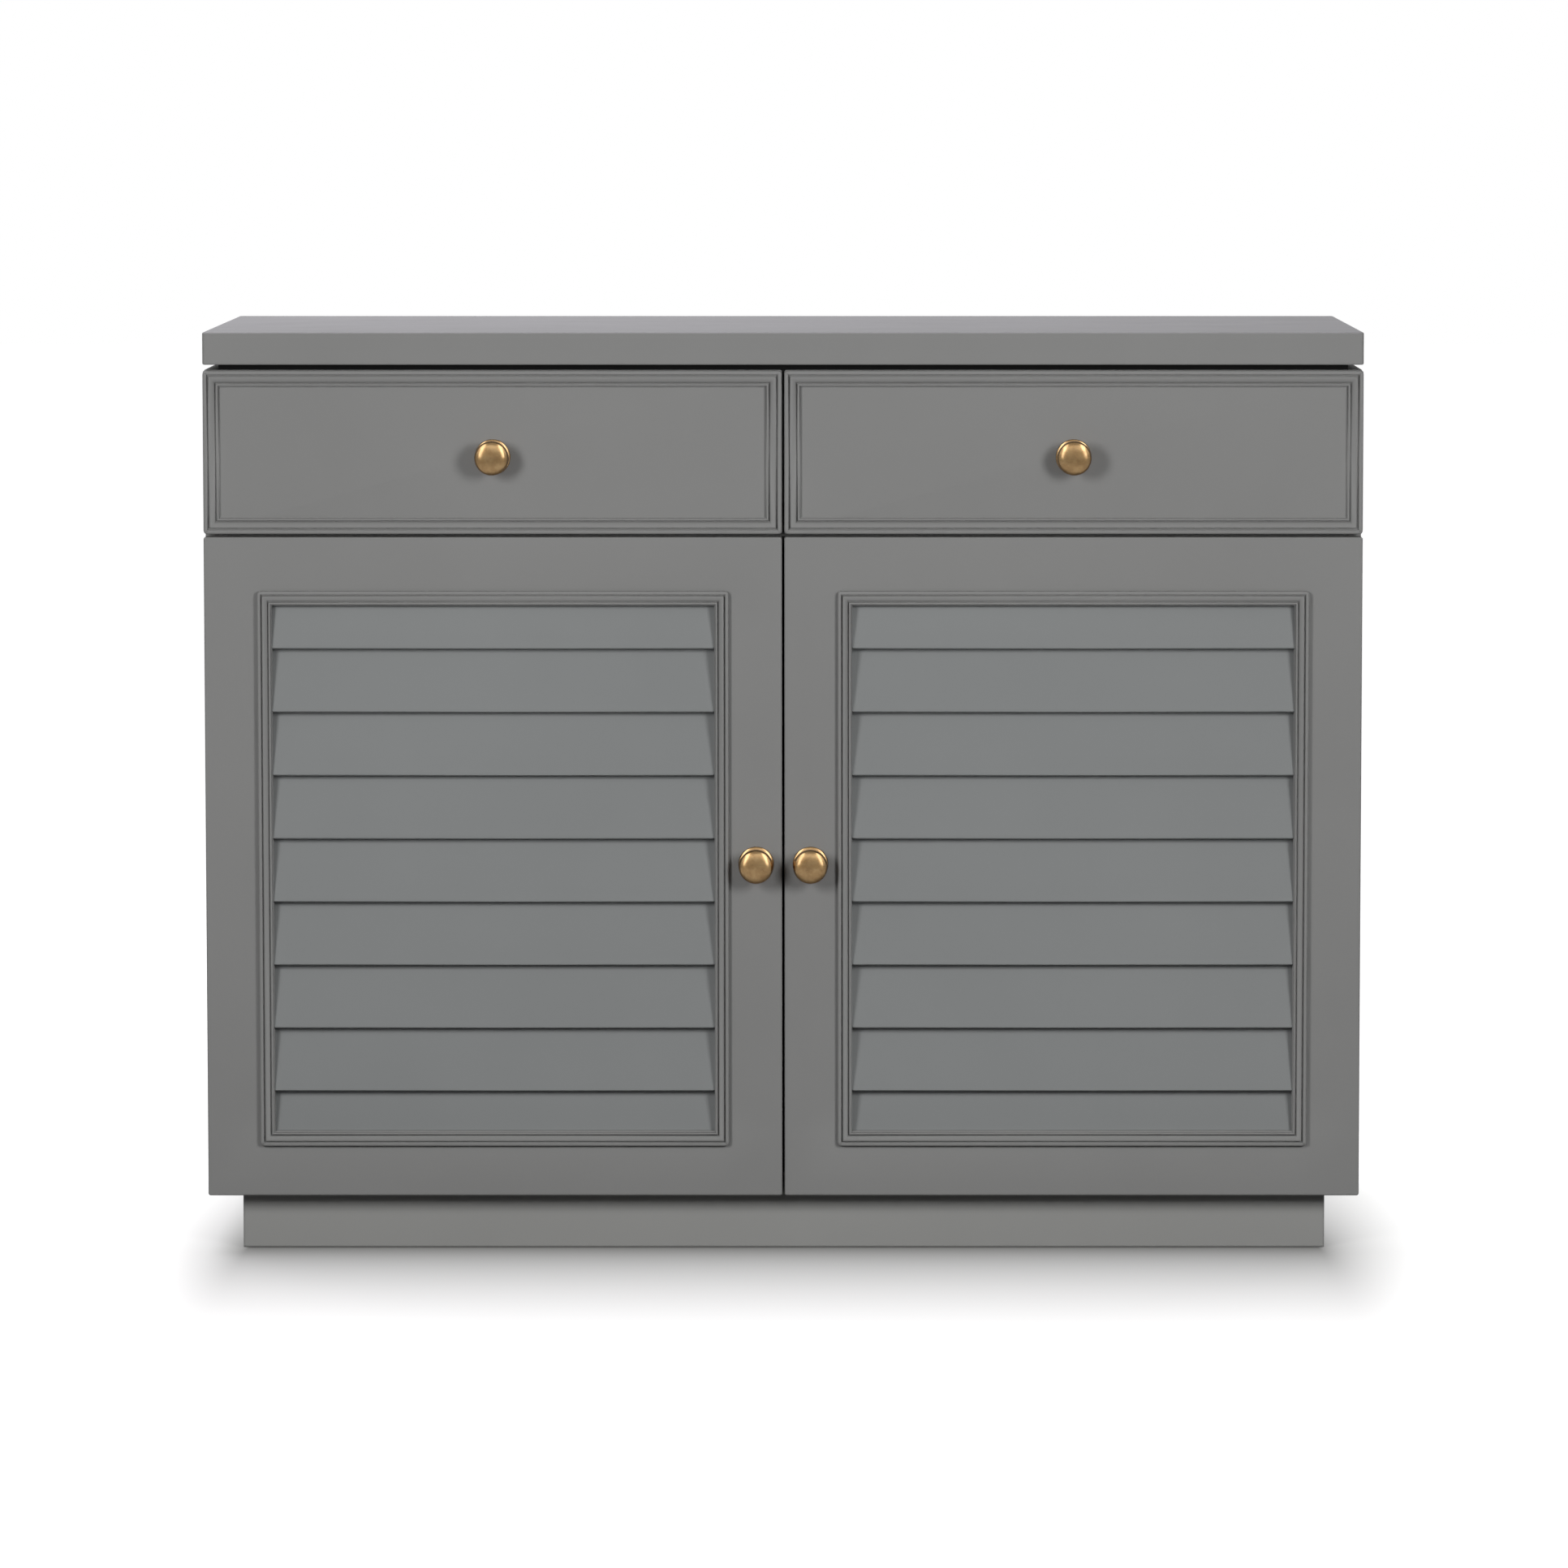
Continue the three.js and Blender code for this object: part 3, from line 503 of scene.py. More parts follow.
def mitred_strip(name, low, high, width):
    """A profiled strip round a rectangle, from its back plane high.y to its front low.y."""
    proud = high.y - low.y
    centre = Vector(((low.x + high.x) / 2, high.y, (low.z + high.z) / 2))
    bpy.ops.object.select_all(action="DESELECT")
    bpy.ops.mesh.primitive_plane_add(size=1, location=centre, rotation=(math.pi / 2, 0, 0))
    strip = bpy.context.object
    strip.scale = (high.x - low.x, high.z - low.z, 1)
    strip.name = strip.data.name = name
    bpy.ops.object.transform_apply(location=True, rotation=True, scale=True)
    bpy.ops.object.mode_set(mode="EDIT")
    bpy.ops.mesh.select_all(action="SELECT")
    for (across, up), (next_across, next_up) in zip(PROFILE, PROFILE[1:]):
        rise = (next_up - up) * proud
        if next_across == across:
            bpy.ops.mesh.extrude_region_move(TRANSFORM_OT_translate={"value": (0, -rise, 0)})
        else:
            bpy.ops.mesh.inset(
                thickness=(next_across - across) * width, depth=rise, use_even_offset=True)
    pick("FACE", lambda f: near(middle(f).y, high.y) and abs(f.normal.y) > 0.99)
    bpy.ops.mesh.delete(type="ONLY_FACE")
    bpy.ops.mesh.select_mode(type="EDGE")
    bpy.ops.mesh.select_all(action="DESELECT")
    bpy.ops.mesh.select_non_manifold(extend=False)
    bpy.ops.mesh.bridge_edge_loops()

    def at_outer_corner(edge):
        start, end = (corner.co for corner in edge.verts)
        insets = [(min(p.x - low.x, high.x - p.x), min(p.z - low.z, high.z - p.z))
                  for p in (start, end)]
        return not near(start.y, end.y) and all(
            near(aside, up) and max(aside, up) < CORNER_SHARE * width for aside, up in insets)

    ease(STRIP_CORNER, 5, at_outer_corner)
    bpy.ops.mesh.select_all(action="SELECT")
    bpy.ops.mesh.normals_make_consistent(inside=False)
    bpy.ops.object.mode_set(mode="OBJECT")
    return strip


print("points on the profile:", len(PROFILE))

# %% Model the four mouldings
for hand in ("left", "right"):
    for kind in ("drawer", "door"):
        low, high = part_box(f"{hand}_{kind}_moulding")
        strip = mitred_strip(f"{hand}_{kind}_strip", low, high, STRIP_WIDTH[kind])
        # Door strips take the door frames' lighter grey, which is painted light.
        finish = frame_lacquer_painted_lighter if kind == "door" else grey_lacquer
        hand_over(strip, finish, f"{hand}_{kind}", "grey_paint", [f"{hand}_{kind}_moulding"])
    print(hand, "strips, faces each:", len(strip.data.polygons))

# %% [markdown]
# ## The slats
#
# A louvre is a thin board that leans back and tucks behind the one above. Its lower front edge
# is rounded and catches the light, with a black line of shadow under it. One slat is modelled
# upright, rounded, and leaned about its lower front edge. The others are copies a pitch apart,
# and the top and bottom ones are cut level with the opening.

# %% Model one slat
SLATS = 9
SLAT_THICKNESS = 0.006
SLAT_STEP_BACK = 0.011
SLAT_OVERLAP = 0.005
SLAT_EASE = 0.0008
SLAT_ARRIS = 0.0004

second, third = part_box("left_door_slat_2"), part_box("left_door_slat_3")
pitch = second[0].z - third[0].z
lean = math.atan(SLAT_STEP_BACK / pitch)
face_height = pitch + SLAT_OVERLAP
foot = Vector((second[0].x, FRONT_PLANE, second[0].z + SLAT_THICKNESS * math.sin(lean)))

slat = start_block(
    "slat_pattern", foot, (second[1].x, foot.y + SLAT_THICKNESS, foot.z + face_height))
bpy.ops.object.mode_set(mode="EDIT")
ease(SLAT_EASE, 5, lambda e: runs(e, 0)
     and near(middle(e).y, foot.y) and near(middle(e).z, foot.z))
ease(SLAT_ARRIS, 2, lambda e: runs(e, 0) and (
    near(middle(e).y, foot.y + SLAT_THICKNESS) or near(middle(e).z, foot.z + face_height)))
bpy.ops.mesh.select_all(action="SELECT")
bpy.ops.transform.rotate(
    value=lean, orient_axis="X", orient_type="GLOBAL", center_override=foot)
bpy.ops.object.mode_set(mode="OBJECT")
print("pitch", round(pitch * 1000, 2), "mm, lean", round(math.degrees(lean), 2), "degrees")
for axis, letter in ((1, "y"), (2, "z")):
    places = [corner.co[axis] for corner in slat.data.vertices]
    print("slat", letter, round(min(places), 5), round(max(places), 5),
          "CAD", round(second[0][axis], 5), round(second[1][axis], 5))

# %% Copy the slats and trim the first and the last
def trim(piece, height, upper):
    """Cuts a piece level at a height and closes the cut; upper says which part goes."""
    only(piece)
    bpy.ops.object.mode_set(mode="EDIT")
    bpy.ops.mesh.select_all(action="SELECT")
    bpy.ops.mesh.bisect(
        plane_co=(0, 0, height), plane_no=(0, 0, 1), use_fill=True,
        clear_outer=upper, clear_inner=not upper)
    bpy.ops.object.mode_set(mode="OBJECT")


for hand in ("left", "right"):
    for number in range(1, SLATS + 1):
        low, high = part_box(f"{hand}_door_slat_{number}")
        shift = Vector((low.x - second[0].x, 0, (2 - number) * pitch))
        louvre = copy_of(slat, f"{hand}_door_louvre_{number}", shift)
        if number == 1:
            trim(louvre, high.z, upper=True)
        if number == SLATS:
            trim(louvre, low.z, upper=False)
        # The slats take their lighter grey, which is painted light.
        hand_over(louvre, slat_lacquer_painted_lighter, f"{hand}_door", "grey_paint",
                  [f"{hand}_door_slat_{number}"])
print("slats:", 2 * SLATS)

# %% [markdown]
# ## The door frames
#
# Two stiles and two rails make the frame, glued and filled so that the joints vanish under the
# paint. A block is bisected along the four edges of the opening, the middle faces are taken out,
# and the front and back holes are bridged into the opening's walls. Then the router's work is
# repeated with booleans: a leaning housing for each slat, two cup bores for the hinges and the
# hole for the knob's screw.

# %% Tools for cutting: a drill and a boolean
FRONT_EASE = 0.0016
FIT = 0.0003
OVERRUN = 0.01


def start_rod(name, radius, ys, x, z, sides):
    """A cylinder that runs from front to back."""
    bpy.ops.object.select_all(action="DESELECT")
    bpy.ops.mesh.primitive_cylinder_add(
        vertices=sides, radius=radius, depth=ys[1] - ys[0],
        location=(x, (ys[0] + ys[1]) / 2, z), rotation=(math.pi / 2, 0, 0))
    rod = bpy.context.object
    rod.name = rod.data.name = name
    bpy.ops.object.transform_apply(location=True, rotation=True, scale=True)
    return rod


def cut_away(piece, cutters):
    """Takes the cutters, which are closed shapes, out of the piece, and deletes them."""
    for cutter in cutters:
        only(piece)
        bpy.ops.object.modifier_add(type="BOOLEAN")
        tool = piece.modifiers[-1]
        tool.operation = "DIFFERENCE"
        tool.solver = "EXACT"
        tool.object = cutter
        bpy.ops.object.modifier_apply(modifier=tool.name)
        bpy.data.objects.remove(cutter)


print("cutting tools:", start_rod.__name__, cut_away.__name__)

# %% Model the two door frames
CUP_RADIUS = 0.0178
CUP_SIDES = 64
SCREW_HOLE_RADIUS = 0.0023
SCREW_HOLE_SIDES = 24
HAIR = 0.0001

for hand in ("left", "right"):
    low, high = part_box(f"{hand}_door_frame")
    strip_low, strip_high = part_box(f"{hand}_door_moulding")
    width = STRIP_WIDTH["door"]
    xs = (strip_low.x + width, strip_high.x - width)
    zs = (strip_low.z + width, strip_high.z - width)
    leaf = start_block(f"{hand}_door_leaf", low, high)
    bpy.ops.object.mode_set(mode="EDIT")
    for place, axis in ((xs[0], 0), (xs[1], 0), (zs[0], 2), (zs[1], 2)):
        direction = [1.0 if i == axis else 0.0 for i in range(3)]
        bpy.ops.mesh.select_all(action="SELECT")
        bpy.ops.mesh.bisect(plane_co=[place * d for d in direction], plane_no=direction)
    pick("FACE", lambda f: abs(f.normal.y) > 0.99 and xs[0] < middle(f).x < xs[1]
         and zs[0] < middle(f).z < zs[1])
    bpy.ops.mesh.delete(type="ONLY_FACE")
    bpy.ops.mesh.select_mode(type="EDGE")
    bpy.ops.mesh.select_non_manifold(extend=False)
    bpy.ops.mesh.bridge_edge_loops()

    ease(FRONT_CORNER, 4, lambda e: runs(e, 1)
         and (near(middle(e).x, low.x) or near(middle(e).x, high.x))
         and (near(middle(e).z, low.z) or near(middle(e).z, high.z)))
    ease(FRONT_EASE, 3, lambda e: near(e.verts[0].co.y, e.verts[1].co.y)
         and (near(middle(e).y, low.y) or near(middle(e).y, high.y))
         and any(abs(f.normal.y) < 0.5 for f in e.link_faces)
         and not (xs[0] - HAIR < middle(e).x < xs[1] + HAIR
                  and zs[0] - HAIR < middle(e).z < zs[1] + HAIR))
    bpy.ops.object.mode_set(mode="OBJECT")

    housings = []
    for number in range(1, SLATS + 1):
        shift = Vector((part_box(f"{hand}_door_slat_{number}")[0].x - second[0].x, 0,
                        (2 - number) * pitch))
        housing = copy_of(slat, f"{hand}_housing_{number}", shift)
        only(housing)
        bpy.ops.object.mode_set(mode="EDIT")
        bpy.ops.mesh.select_all(action="SELECT")
        bpy.ops.transform.shrink_fatten(value=FIT, use_even_offset=True)
        bpy.ops.object.mode_set(mode="OBJECT")
        if number == 1:
            trim(housing, zs[1], upper=True)
        if number == SLATS:
            trim(housing, zs[0], upper=False)
        housings.append(housing)
    knob_low, knob_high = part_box(f"{hand}_door_knob")
    bores = [start_rod(
        "bore", SCREW_HOLE_RADIUS, (low.y - OVERRUN, high.y + OVERRUN),
        (knob_low.x + knob_high.x) / 2, (knob_low.z + knob_high.z) / 2, SCREW_HOLE_SIDES)]
    for level in ("upper", "lower"):
        cup_low, cup_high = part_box(f"{hand}_{level}_hinge_cup")
        bores.append(start_rod(
            "bore", CUP_RADIUS, (cup_low.y - FIT, high.y + OVERRUN),
            (cup_low.x + cup_high.x) / 2, (cup_low.z + cup_high.z) / 2, CUP_SIDES))
    cut_away(leaf, housings + bores)
    # The frame takes its lighter grey, which is painted light.
    hand_over(leaf, frame_lacquer_painted_lighter, f"{hand}_door", "grey_paint", [f"{hand}_door_frame"])
    print(leaf.name, "faces:", len(leaf.data.polygons))

bpy.data.objects.remove(slat)

# %% [markdown]
# ## The knobs
#
# Each knob is turned from a brass bar: a rose that spreads the pull, a waist for the fingertips
# and a domed head, a little narrower than the rose. A lathe makes it, and a profile spun round an
# axis would repeat that. Pulling a disc forward ring by ring, wider or narrower each time, gives
# the same rings and needs no axis. A subdivision surface then smooths the turning.

# %% Turn one knob
KNOB_RADIUS = 0.015
KNOB_SIDES = 32
TURNING = [
    (0.99, 0), (1.03, 0.012), (1.04, 0.035), (1.03, 0.062), (0.99, 0.085), (0.91, 0.107),
    (0.71, 0.135), (0.51, 0.18), (0.41, 0.26), (0.4, 0.35), (0.45, 0.44), (0.6, 0.54),
    (0.8, 0.61), (0.935, 0.66), (0.985, 0.7), (1, 0.745), (0.99, 0.79), (0.965, 0.83),
    (0.925, 0.868), (0.87, 0.9), (0.8, 0.928), (0.71, 0.95), (0.6, 0.967), (0.45, 0.981),
    (0.28, 0.992), (0.1, 1),
]


def turned(name, centre, rings, sides):
    """A disc pulled forward ring by ring. Each ring is its radius and its place in front."""
    bpy.ops.object.select_all(action="DESELECT")
    bpy.ops.mesh.primitive_circle_add(
        vertices=sides, radius=rings[0][0], fill_type="NGON",
        location=centre - Vector((0, rings[0][1], 0)), rotation=(math.pi / 2, 0, 0))
    shape = bpy.context.object
    shape.name = shape.data.name = name
    bpy.ops.object.transform_apply(location=True, rotation=True, scale=True)
    bpy.ops.object.mode_set(mode="EDIT")
    bpy.ops.mesh.select_all(action="SELECT")
    for (radius, out), (next_radius, next_out) in zip(rings, rings[1:]):
        bpy.ops.mesh.extrude_region_move(
            TRANSFORM_OT_translate={"value": (0, out - next_out, 0)})
        wider = next_radius / radius
        bpy.ops.transform.resize(
            value=(wider, 1, wider), center_override=centre - Vector((0, next_out, 0)))
    bpy.ops.mesh.select_all(action="SELECT")
    bpy.ops.mesh.normals_make_consistent(inside=False)
    bpy.ops.object.mode_set(mode="OBJECT")
    return shape


door_low, door_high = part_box("left_door_knob")
knob_centre = Vector(((door_low.x + door_high.x) / 2, FRONT_PLANE - FIT,
                      (door_low.z + door_high.z) / 2))
reach = knob_centre.y - door_low.y
knob_pattern = turned("knob_pattern", knob_centre,
                      [(r * KNOB_RADIUS, out * reach) for r, out in TURNING], KNOB_SIDES)
only(knob_pattern)
bpy.ops.object.modifier_add(type="SUBSURF")
knob_pattern.modifiers[-1].levels = knob_pattern.modifiers[-1].render_levels = 2
bpy.ops.object.modifier_apply(modifier=knob_pattern.modifiers[-1].name)
print("knob faces:", len(knob_pattern.data.polygons), "reach", round(reach * 1000, 1), "mm")

# %% Place a knob on every door and drawer
for hand in ("left", "right"):
    for kind in ("door", "drawer"):
        low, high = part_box(f"{hand}_{kind}_knob")
        centre = Vector(((low.x + high.x) / 2, low.y + reach, (low.z + high.z) / 2))
        pull = copy_of(knob_pattern, f"{hand}_{kind}_pull", centre - knob_centre)
        hand_over(pull, brass, f"{hand}_{kind}", "aged_brass", [f"{hand}_{kind}_knob"])
bpy.data.objects.remove(knob_pattern)
print("knobs placed")

# %% [markdown]
# ## Screws and bumpers
#
# Screws hold what a cabinet maker doesn't glue: knobs, hinges, runners and the back. A pan head
# sits on the surface and a flat head lies flush in it. Each is turned like the knob, and a cross
# is cut for the driver. Both are modelled once, facing front at the origin, and each copy is
# turned to face its own way. The knob's screw has a larger pan head. Two clear rubber domes
# behind each door and each drawer front soften the stop.

# %% Model the two screw heads and the bumper
PAN_HEAD = [
    (0.0033, 0), (0.0034, 0.0003), (0.0033, 0.0009), (0.0028, 0.0014), (0.002, 0.0017),
    (0.0008, 0.0018)]
FLAT_HEAD = [
    (0.0013, 0), (0.0028, 0.0018), (0.0029, 0.002), (0.0028, 0.0022), (0.0009, 0.00225)]
BUMPER = [
    (0.0034, 0), (0.0036, 0.0002), (0.0035, 0.001), (0.003, 0.0016), (0.002, 0.002),
    (0.0008, 0.0021)]
KNOB_SCREW_HEAD = 0.0025
KNOB_SCREW_SIZE = KNOB_SCREW_HEAD / PAN_HEAD[-1][1]
CROSS = (0.0036, 0.0008)
CROSS_DEPTH = 0.0011
ROUND_SIDES = 24


def screw_head(name, rings):
    """A turned head that faces front, with a cross cut into it."""
    head = turned(name, Vector(), rings, ROUND_SIDES)
    long, thin = CROSS
    crown = -rings[-1][1]
    cut_away(head, [
        start_block("cross", (-wide / 2, crown - CROSS_DEPTH, -tall / 2),
                    (wide / 2, crown + CROSS_DEPTH, tall / 2))
        for wide, tall in ((long, thin), (thin, long))])
    return head


pan_screw = screw_head("pan_screw_pattern", PAN_HEAD)
knob_screw = screw_head("knob_screw_pattern", [
    (radius * KNOB_SCREW_SIZE, out * KNOB_SCREW_SIZE) for radius, out in PAN_HEAD])
flat_screw = screw_head("flat_screw_pattern", FLAT_HEAD)
bumper = turned("bumper_pattern", Vector(), BUMPER, ROUND_SIDES)
print("screw faces:", len(pan_screw.data.polygons), len(flat_screw.data.polygons))

# %% Screw on the knobs and the hinges, and stick on the bumpers
TO_BACK = math.pi
EAR_SCREW_FROM_CUP = 0.024
FLAT_HEAD_SUNK = 0.0019
PLATE_SCREW_FROM_ARM = 0.0165
PLATE_MIDDLE_FROM_END = 0.022
WING_FACE = 0.0033
ARM_SCREWS_FROM_END = (0.008, 0.029)
BUMPER_FROM_EDGE = 0.012


def fasten(pattern, name, place, turn, finish, body, slot="hinge_steel"):
    """Copies a pattern to its place, turned its way, and hands it over."""
    return hand_over(copy_of(pattern, name, Vector(place), turn), finish, body, slot)


for hand in ("left", "right"):
    side = -1 if hand == "left" else 1
    to_middle = -side * math.pi / 2
    for kind in ("door", "drawer"):
        knob_low, knob_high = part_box(f"{hand}_{kind}_knob")
        fasten(knob_screw, f"{hand}_{kind}_knob_screw",
               ((knob_low.x + knob_high.x) / 2, knob_high.y - KNOB_SCREW_HEAD - FIT,
                (knob_low.z + knob_high.z) / 2), TO_BACK, nickel, f"{hand}_{kind}")
    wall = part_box(f"{hand}_side_panel")[0 if side > 0 else 1].x
    for level in ("upper", "lower"):
        cup_low, cup_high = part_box(f"{hand}_{level}_hinge_cup")
        arm_low, arm_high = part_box(f"{hand}_{level}_hinge_arm")
        z = (arm_low.z + arm_high.z) / 2
        arm_face = arm_low.x if side > 0 else arm_high.x
        for number, way in enumerate((1, -1), 1):
            fasten(flat_screw, f"{hand}_{level}_cup_screw_{number}",
                   ((cup_low.x + cup_high.x) / 2, cup_high.y - FLAT_HEAD_SUNK,
                    z + way * EAR_SCREW_FROM_CUP), TO_BACK, nickel, f"{hand}_door")
            fasten(pan_screw, f"{hand}_{level}_plate_screw_{number}",
                   (wall - side * WING_FACE, arm_high.y - PLATE_MIDDLE_FROM_END,
                    z + way * PLATE_SCREW_FROM_ARM), to_middle, nickel, "carcass")
            fasten(pan_screw, f"{hand}_{level}_arm_screw_{number}",
                   (arm_face, arm_high.y - ARM_SCREWS_FROM_END[number - 1], z),
                   to_middle, nickel, "carcass")
    for level, kind, panel, ends in (
            ("upper", "door", "drawer_shelf", ("inner",)),
            ("lower", "door", "bottom_panel", ("inner",)),
            ("upper", "drawer", "sub_top_panel", ("inner", "outer"))):
        low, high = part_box(panel)
        front_low, front_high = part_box(f"{hand}_door_frame" if kind == "door"
                                       else f"{hand}_drawer_front")
        z = (max(low.z, front_low.z) + min(high.z, front_high.z)) / 2
        for end in ends:
            at_low_x = (end == "inner") == (side > 0)
            x = front_low.x + BUMPER_FROM_EDGE if at_low_x else front_high.x - BUMPER_FROM_EDGE
            fasten(bumper, f"{hand}_{level}_{end}_{kind}_bumper", (x, front_high.y, z),
                   TO_BACK, rubber, f"{hand}_{kind}", None)
print("hinges with", len(ARM_SCREWS_FROM_END), "adjusting screws each")

# %% Screw on the runners
RUNNER_SCREWS = 3
RUNNER_SCREW_PROUD = 0.0002

for hand in ("left", "right"):
    side = -1 if hand == "left" else 1
    for part, way in (("outer", -side), ("inner", side)):
        low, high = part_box(f"{hand}_drawer_{part}_runner")
        face = high.x if way > 0 else low.x
        sunk = FLAT_HEAD[-1][1] - RUNNER_SCREW_PROUD
        for number in range(1, RUNNER_SCREWS + 1):
            y = low.y + (high.y - low.y) * (number - 0.5) / RUNNER_SCREWS
            fasten(flat_screw, f"{hand}_{part}_runner_screw_{number}",
                   (face - way * sunk, y, (low.z + high.z) / 2), way * math.pi / 2,
                   nickel, "carcass")
print("runner screws:", 4 * RUNNER_SCREWS)

# %% [markdown]
# ## The back panel
#
# The back is a thin hardboard sheet in a rebate. It is painted with a roller, and flat-headed
# screws hold it to the side panels, the shelves and the bottom. Each screw sits in a cone that a
# countersink bit leaves, so the sheet is a block with the cones taken out.

# %% Model the back panel and its screws
BACK_SCREW_FROM_EDGE = 0.004
BACK_COLUMNS = 5
SINK_RADII = (0.0014, 0.0034)
SINK_DEPTH = 0.0024
UNDER_FACE = 0.0002

low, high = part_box("back_panel")
sheet = start_block("hardboard_back", low, high)
bpy.ops.object.mode_set(mode="EDIT")
ease(ARRIS, 2, lambda e: near(e.verts[0].co.y, e.verts[1].co.y) and near(middle(e).y, high.y))
bpy.ops.object.mode_set(mode="OBJECT")
ends = (low.x + BACK_SCREW_FROM_EDGE, high.x - BACK_SCREW_FROM_EDGE)
columns = [ends[0] + (ends[1] - ends[0]) * n / (BACK_COLUMNS - 1) for n in range(BACK_COLUMNS)]
spots = []
for panel in ("sub_top_panel", "drawer_shelf", "cupboard_shelf", "bottom_panel"):
    shelf_low, shelf_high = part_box(panel)
    z = (max(shelf_low.z, low.z) + min(shelf_high.z, high.z)) / 2
    spots += [(x, z) for x in (ends if panel == "cupboard_shelf" else columns)]

bpy.ops.object.select_all(action="DESELECT")
sinks = []
for x, z in spots:
    bpy.ops.mesh.primitive_cone_add(
        vertices=ROUND_SIDES, radius1=SINK_RADII[0], radius2=SINK_RADII[1], depth=SINK_DEPTH,
        location=(x, high.y + UNDER_FACE - SINK_DEPTH / 2, z), rotation=(-math.pi / 2, 0, 0))
    sinks.append(bpy.context.object)
only(sinks[0])
for sink in sinks:
    sink.select_set(True)
bpy.ops.object.join()
bpy.ops.object.transform_apply(location=True, rotation=True, scale=True)
cut_away(sheet, [bpy.context.object])
hand_over(sheet, back_paint, "carcass", "back_board", ["back_panel"])
for number, (x, z) in enumerate(spots, 1):
    fasten(flat_screw, f"back_screw_{number}",
           (x, high.y - UNDER_FACE - FLAT_HEAD[-1][1], z), TO_BACK, nickel, "carcass")
for pattern in (pan_screw, knob_screw, flat_screw, bumper):
    bpy.data.objects.remove(pattern)
print("back screws:", len(spots))

# %% [markdown]
# ## The boards that stay as CAD
#
# The carcass, the plinth, the drawer boxes, the runners and the hinges already have their true
# shape, so they keep it. A CAD mesh has razor edges, which no painted board has. A weld joins
# its loose triangles and a bevel eases the edges, both as live modifiers, so the CAD mesh itself
# isn't touched. Then each node gets its finish. A plinth is kicked and rubbed, so it is eased
# most, and pressed steel hardly at all.

# %% Ease and finish the CAD nodes
WELD_WITHIN = 1e-6
SHARP_FROM = math.radians(40)
BOARD_EASE, PLINTH_EASE = 0.0005, 0.002
SIDE_EASE, RUNNER_EASE, PINE_BACK_EASE, BOTTOM_EASE = 0.0004, 0.0003, 0.0006, 0.0003
STEEL_EASE = 0.0002


def keep(name, finish, radius, steps=2):
    """Keeps a CAD node, with eased edges and a finish."""
    node = nodes[name]
    weld = node.modifiers.new("weld", "WELD")
    weld.merge_threshold = WELD_WITHIN
    bevel = node.modifiers.new("ease", "BEVEL")
    bevel.width = radius
    bevel.segments = steps
    bevel.limit_method = "ANGLE"
    bevel.angle_limit = SHARP_FROM
    for place in node.material_slots:
        place.material = finish
    return node


# The sub-top carries the painted shade of the gap under the top.
keep("sub_top_panel", lacquer_with_painted_gap_shade, BOARD_EASE)
for name in ("drawer_shelf", "cupboard_shelf", "bottom_panel",
             "centre_divider", "left_side_panel", "right_side_panel"):
    keep(name, grey_lacquer, BOARD_EASE)
# The plinth's much lighter grey is painted light, standing in for light bounced up from the floor.
keep("plinth_frame", plinth_lacquer_painted_lighter, PLINTH_EASE, 4)
for hand in ("left", "right"):
    for part in ("outer", "inner"):
        keep(f"{hand}_drawer_{part}_side", pine_to_back, SIDE_EASE)
        keep(f"{hand}_drawer_{part}_runner", pine_to_back, RUNNER_EASE)
    keep(f"{hand}_drawer_back", pine_across, PINE_BACK_EASE)
    keep(f"{hand}_drawer_bottom", pine_across, BOTTOM_EASE)
    for level in ("upper", "lower"):
        keep(f"{hand}_{level}_hinge_cup", nickel, STEEL_EASE)
        keep(f"{hand}_{level}_hinge_arm", nickel, STEEL_EASE)
print("CAD nodes kept:", sum(1 for n in nodes.values() if not n.hide_render))

# %% [markdown]
# ## The studio floor
#
# A product photograph stands on white paper, which fades into the white behind it and keeps only
# a soft shadow round the foot. Strong lamps could make the paper white, but they would bleach the
# cabinet too. Here the floor glows for the camera and for reflections alone, not at all at the
# plinth and more the farther away. So the dark round the foot is partly its real shadow and partly
# painted shadow, where the glow is held back, and it has no edge. For bounced light it is mid grey.

# %% The floor
FLOOR_SIZE = 40.0
FLOOR_IN_METAL = 0.4
SHADOW_INSET = 0.005
SHADOW_ASIDE = 0.095
SHADOW_IN_FRONT = 0.67
SHADOW_FADE = 0.5


def by_ray(owner, for_light, for_shine, for_camera):
    """A strength that differs for bounced light, for metal and clear rubber, and for the camera."""
    path = put(owner, "ShaderNodeLightPath")
    in_shine = put(owner, "ShaderNodeMath", {
        0: path.outputs["Is Glossy Ray"], 1: path.outputs["Is Transmission Ray"]},
        operation="MAXIMUM")
    shine = put(owner, "ShaderNodeMapRange", {
        "Value": in_shine.outputs[0], "To Min": for_light, "To Max": for_shine})
    return put(owner, "ShaderNodeMapRange", {
        "Value": path.outputs["Is Camera Ray"], "To Min": shine.outputs["Result"],
        "To Max": for_camera}).outputs["Result"]


floor_paint = blank_finish("white_studio_floor")
shown = by_ray(floor_paint, 0.0, FLOOR_IN_METAL, 1.0)
foot_low, foot_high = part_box("plinth_frame")
spot = put(floor_paint, "ShaderNodeSeparateXYZ", {
    0: put(floor_paint, "ShaderNodeTexCoord").outputs["Object"]})


def steps_away(value, low_edge, high_edge, reach):
    """How far a place lies outside an interval, in reaches, 0 inside it."""
    over = put(floor_paint, "ShaderNodeMath", {0: value, 1: high_edge}, operation="SUBTRACT")
    under = put(floor_paint, "ShaderNodeMath", {0: low_edge, 1: value}, operation="SUBTRACT")
    out = put(floor_paint, "ShaderNodeMath", {0: over.outputs[0], 1: under.outputs[0]},
              operation="MAXIMUM")
    clear = put(floor_paint, "ShaderNodeMath", {0: out.outputs[0], 1: 0.0}, operation="MAXIMUM")
    return put(floor_paint, "ShaderNodeMath", {0: clear.outputs[0], 1: reach},
               operation="DIVIDE").outputs[0]
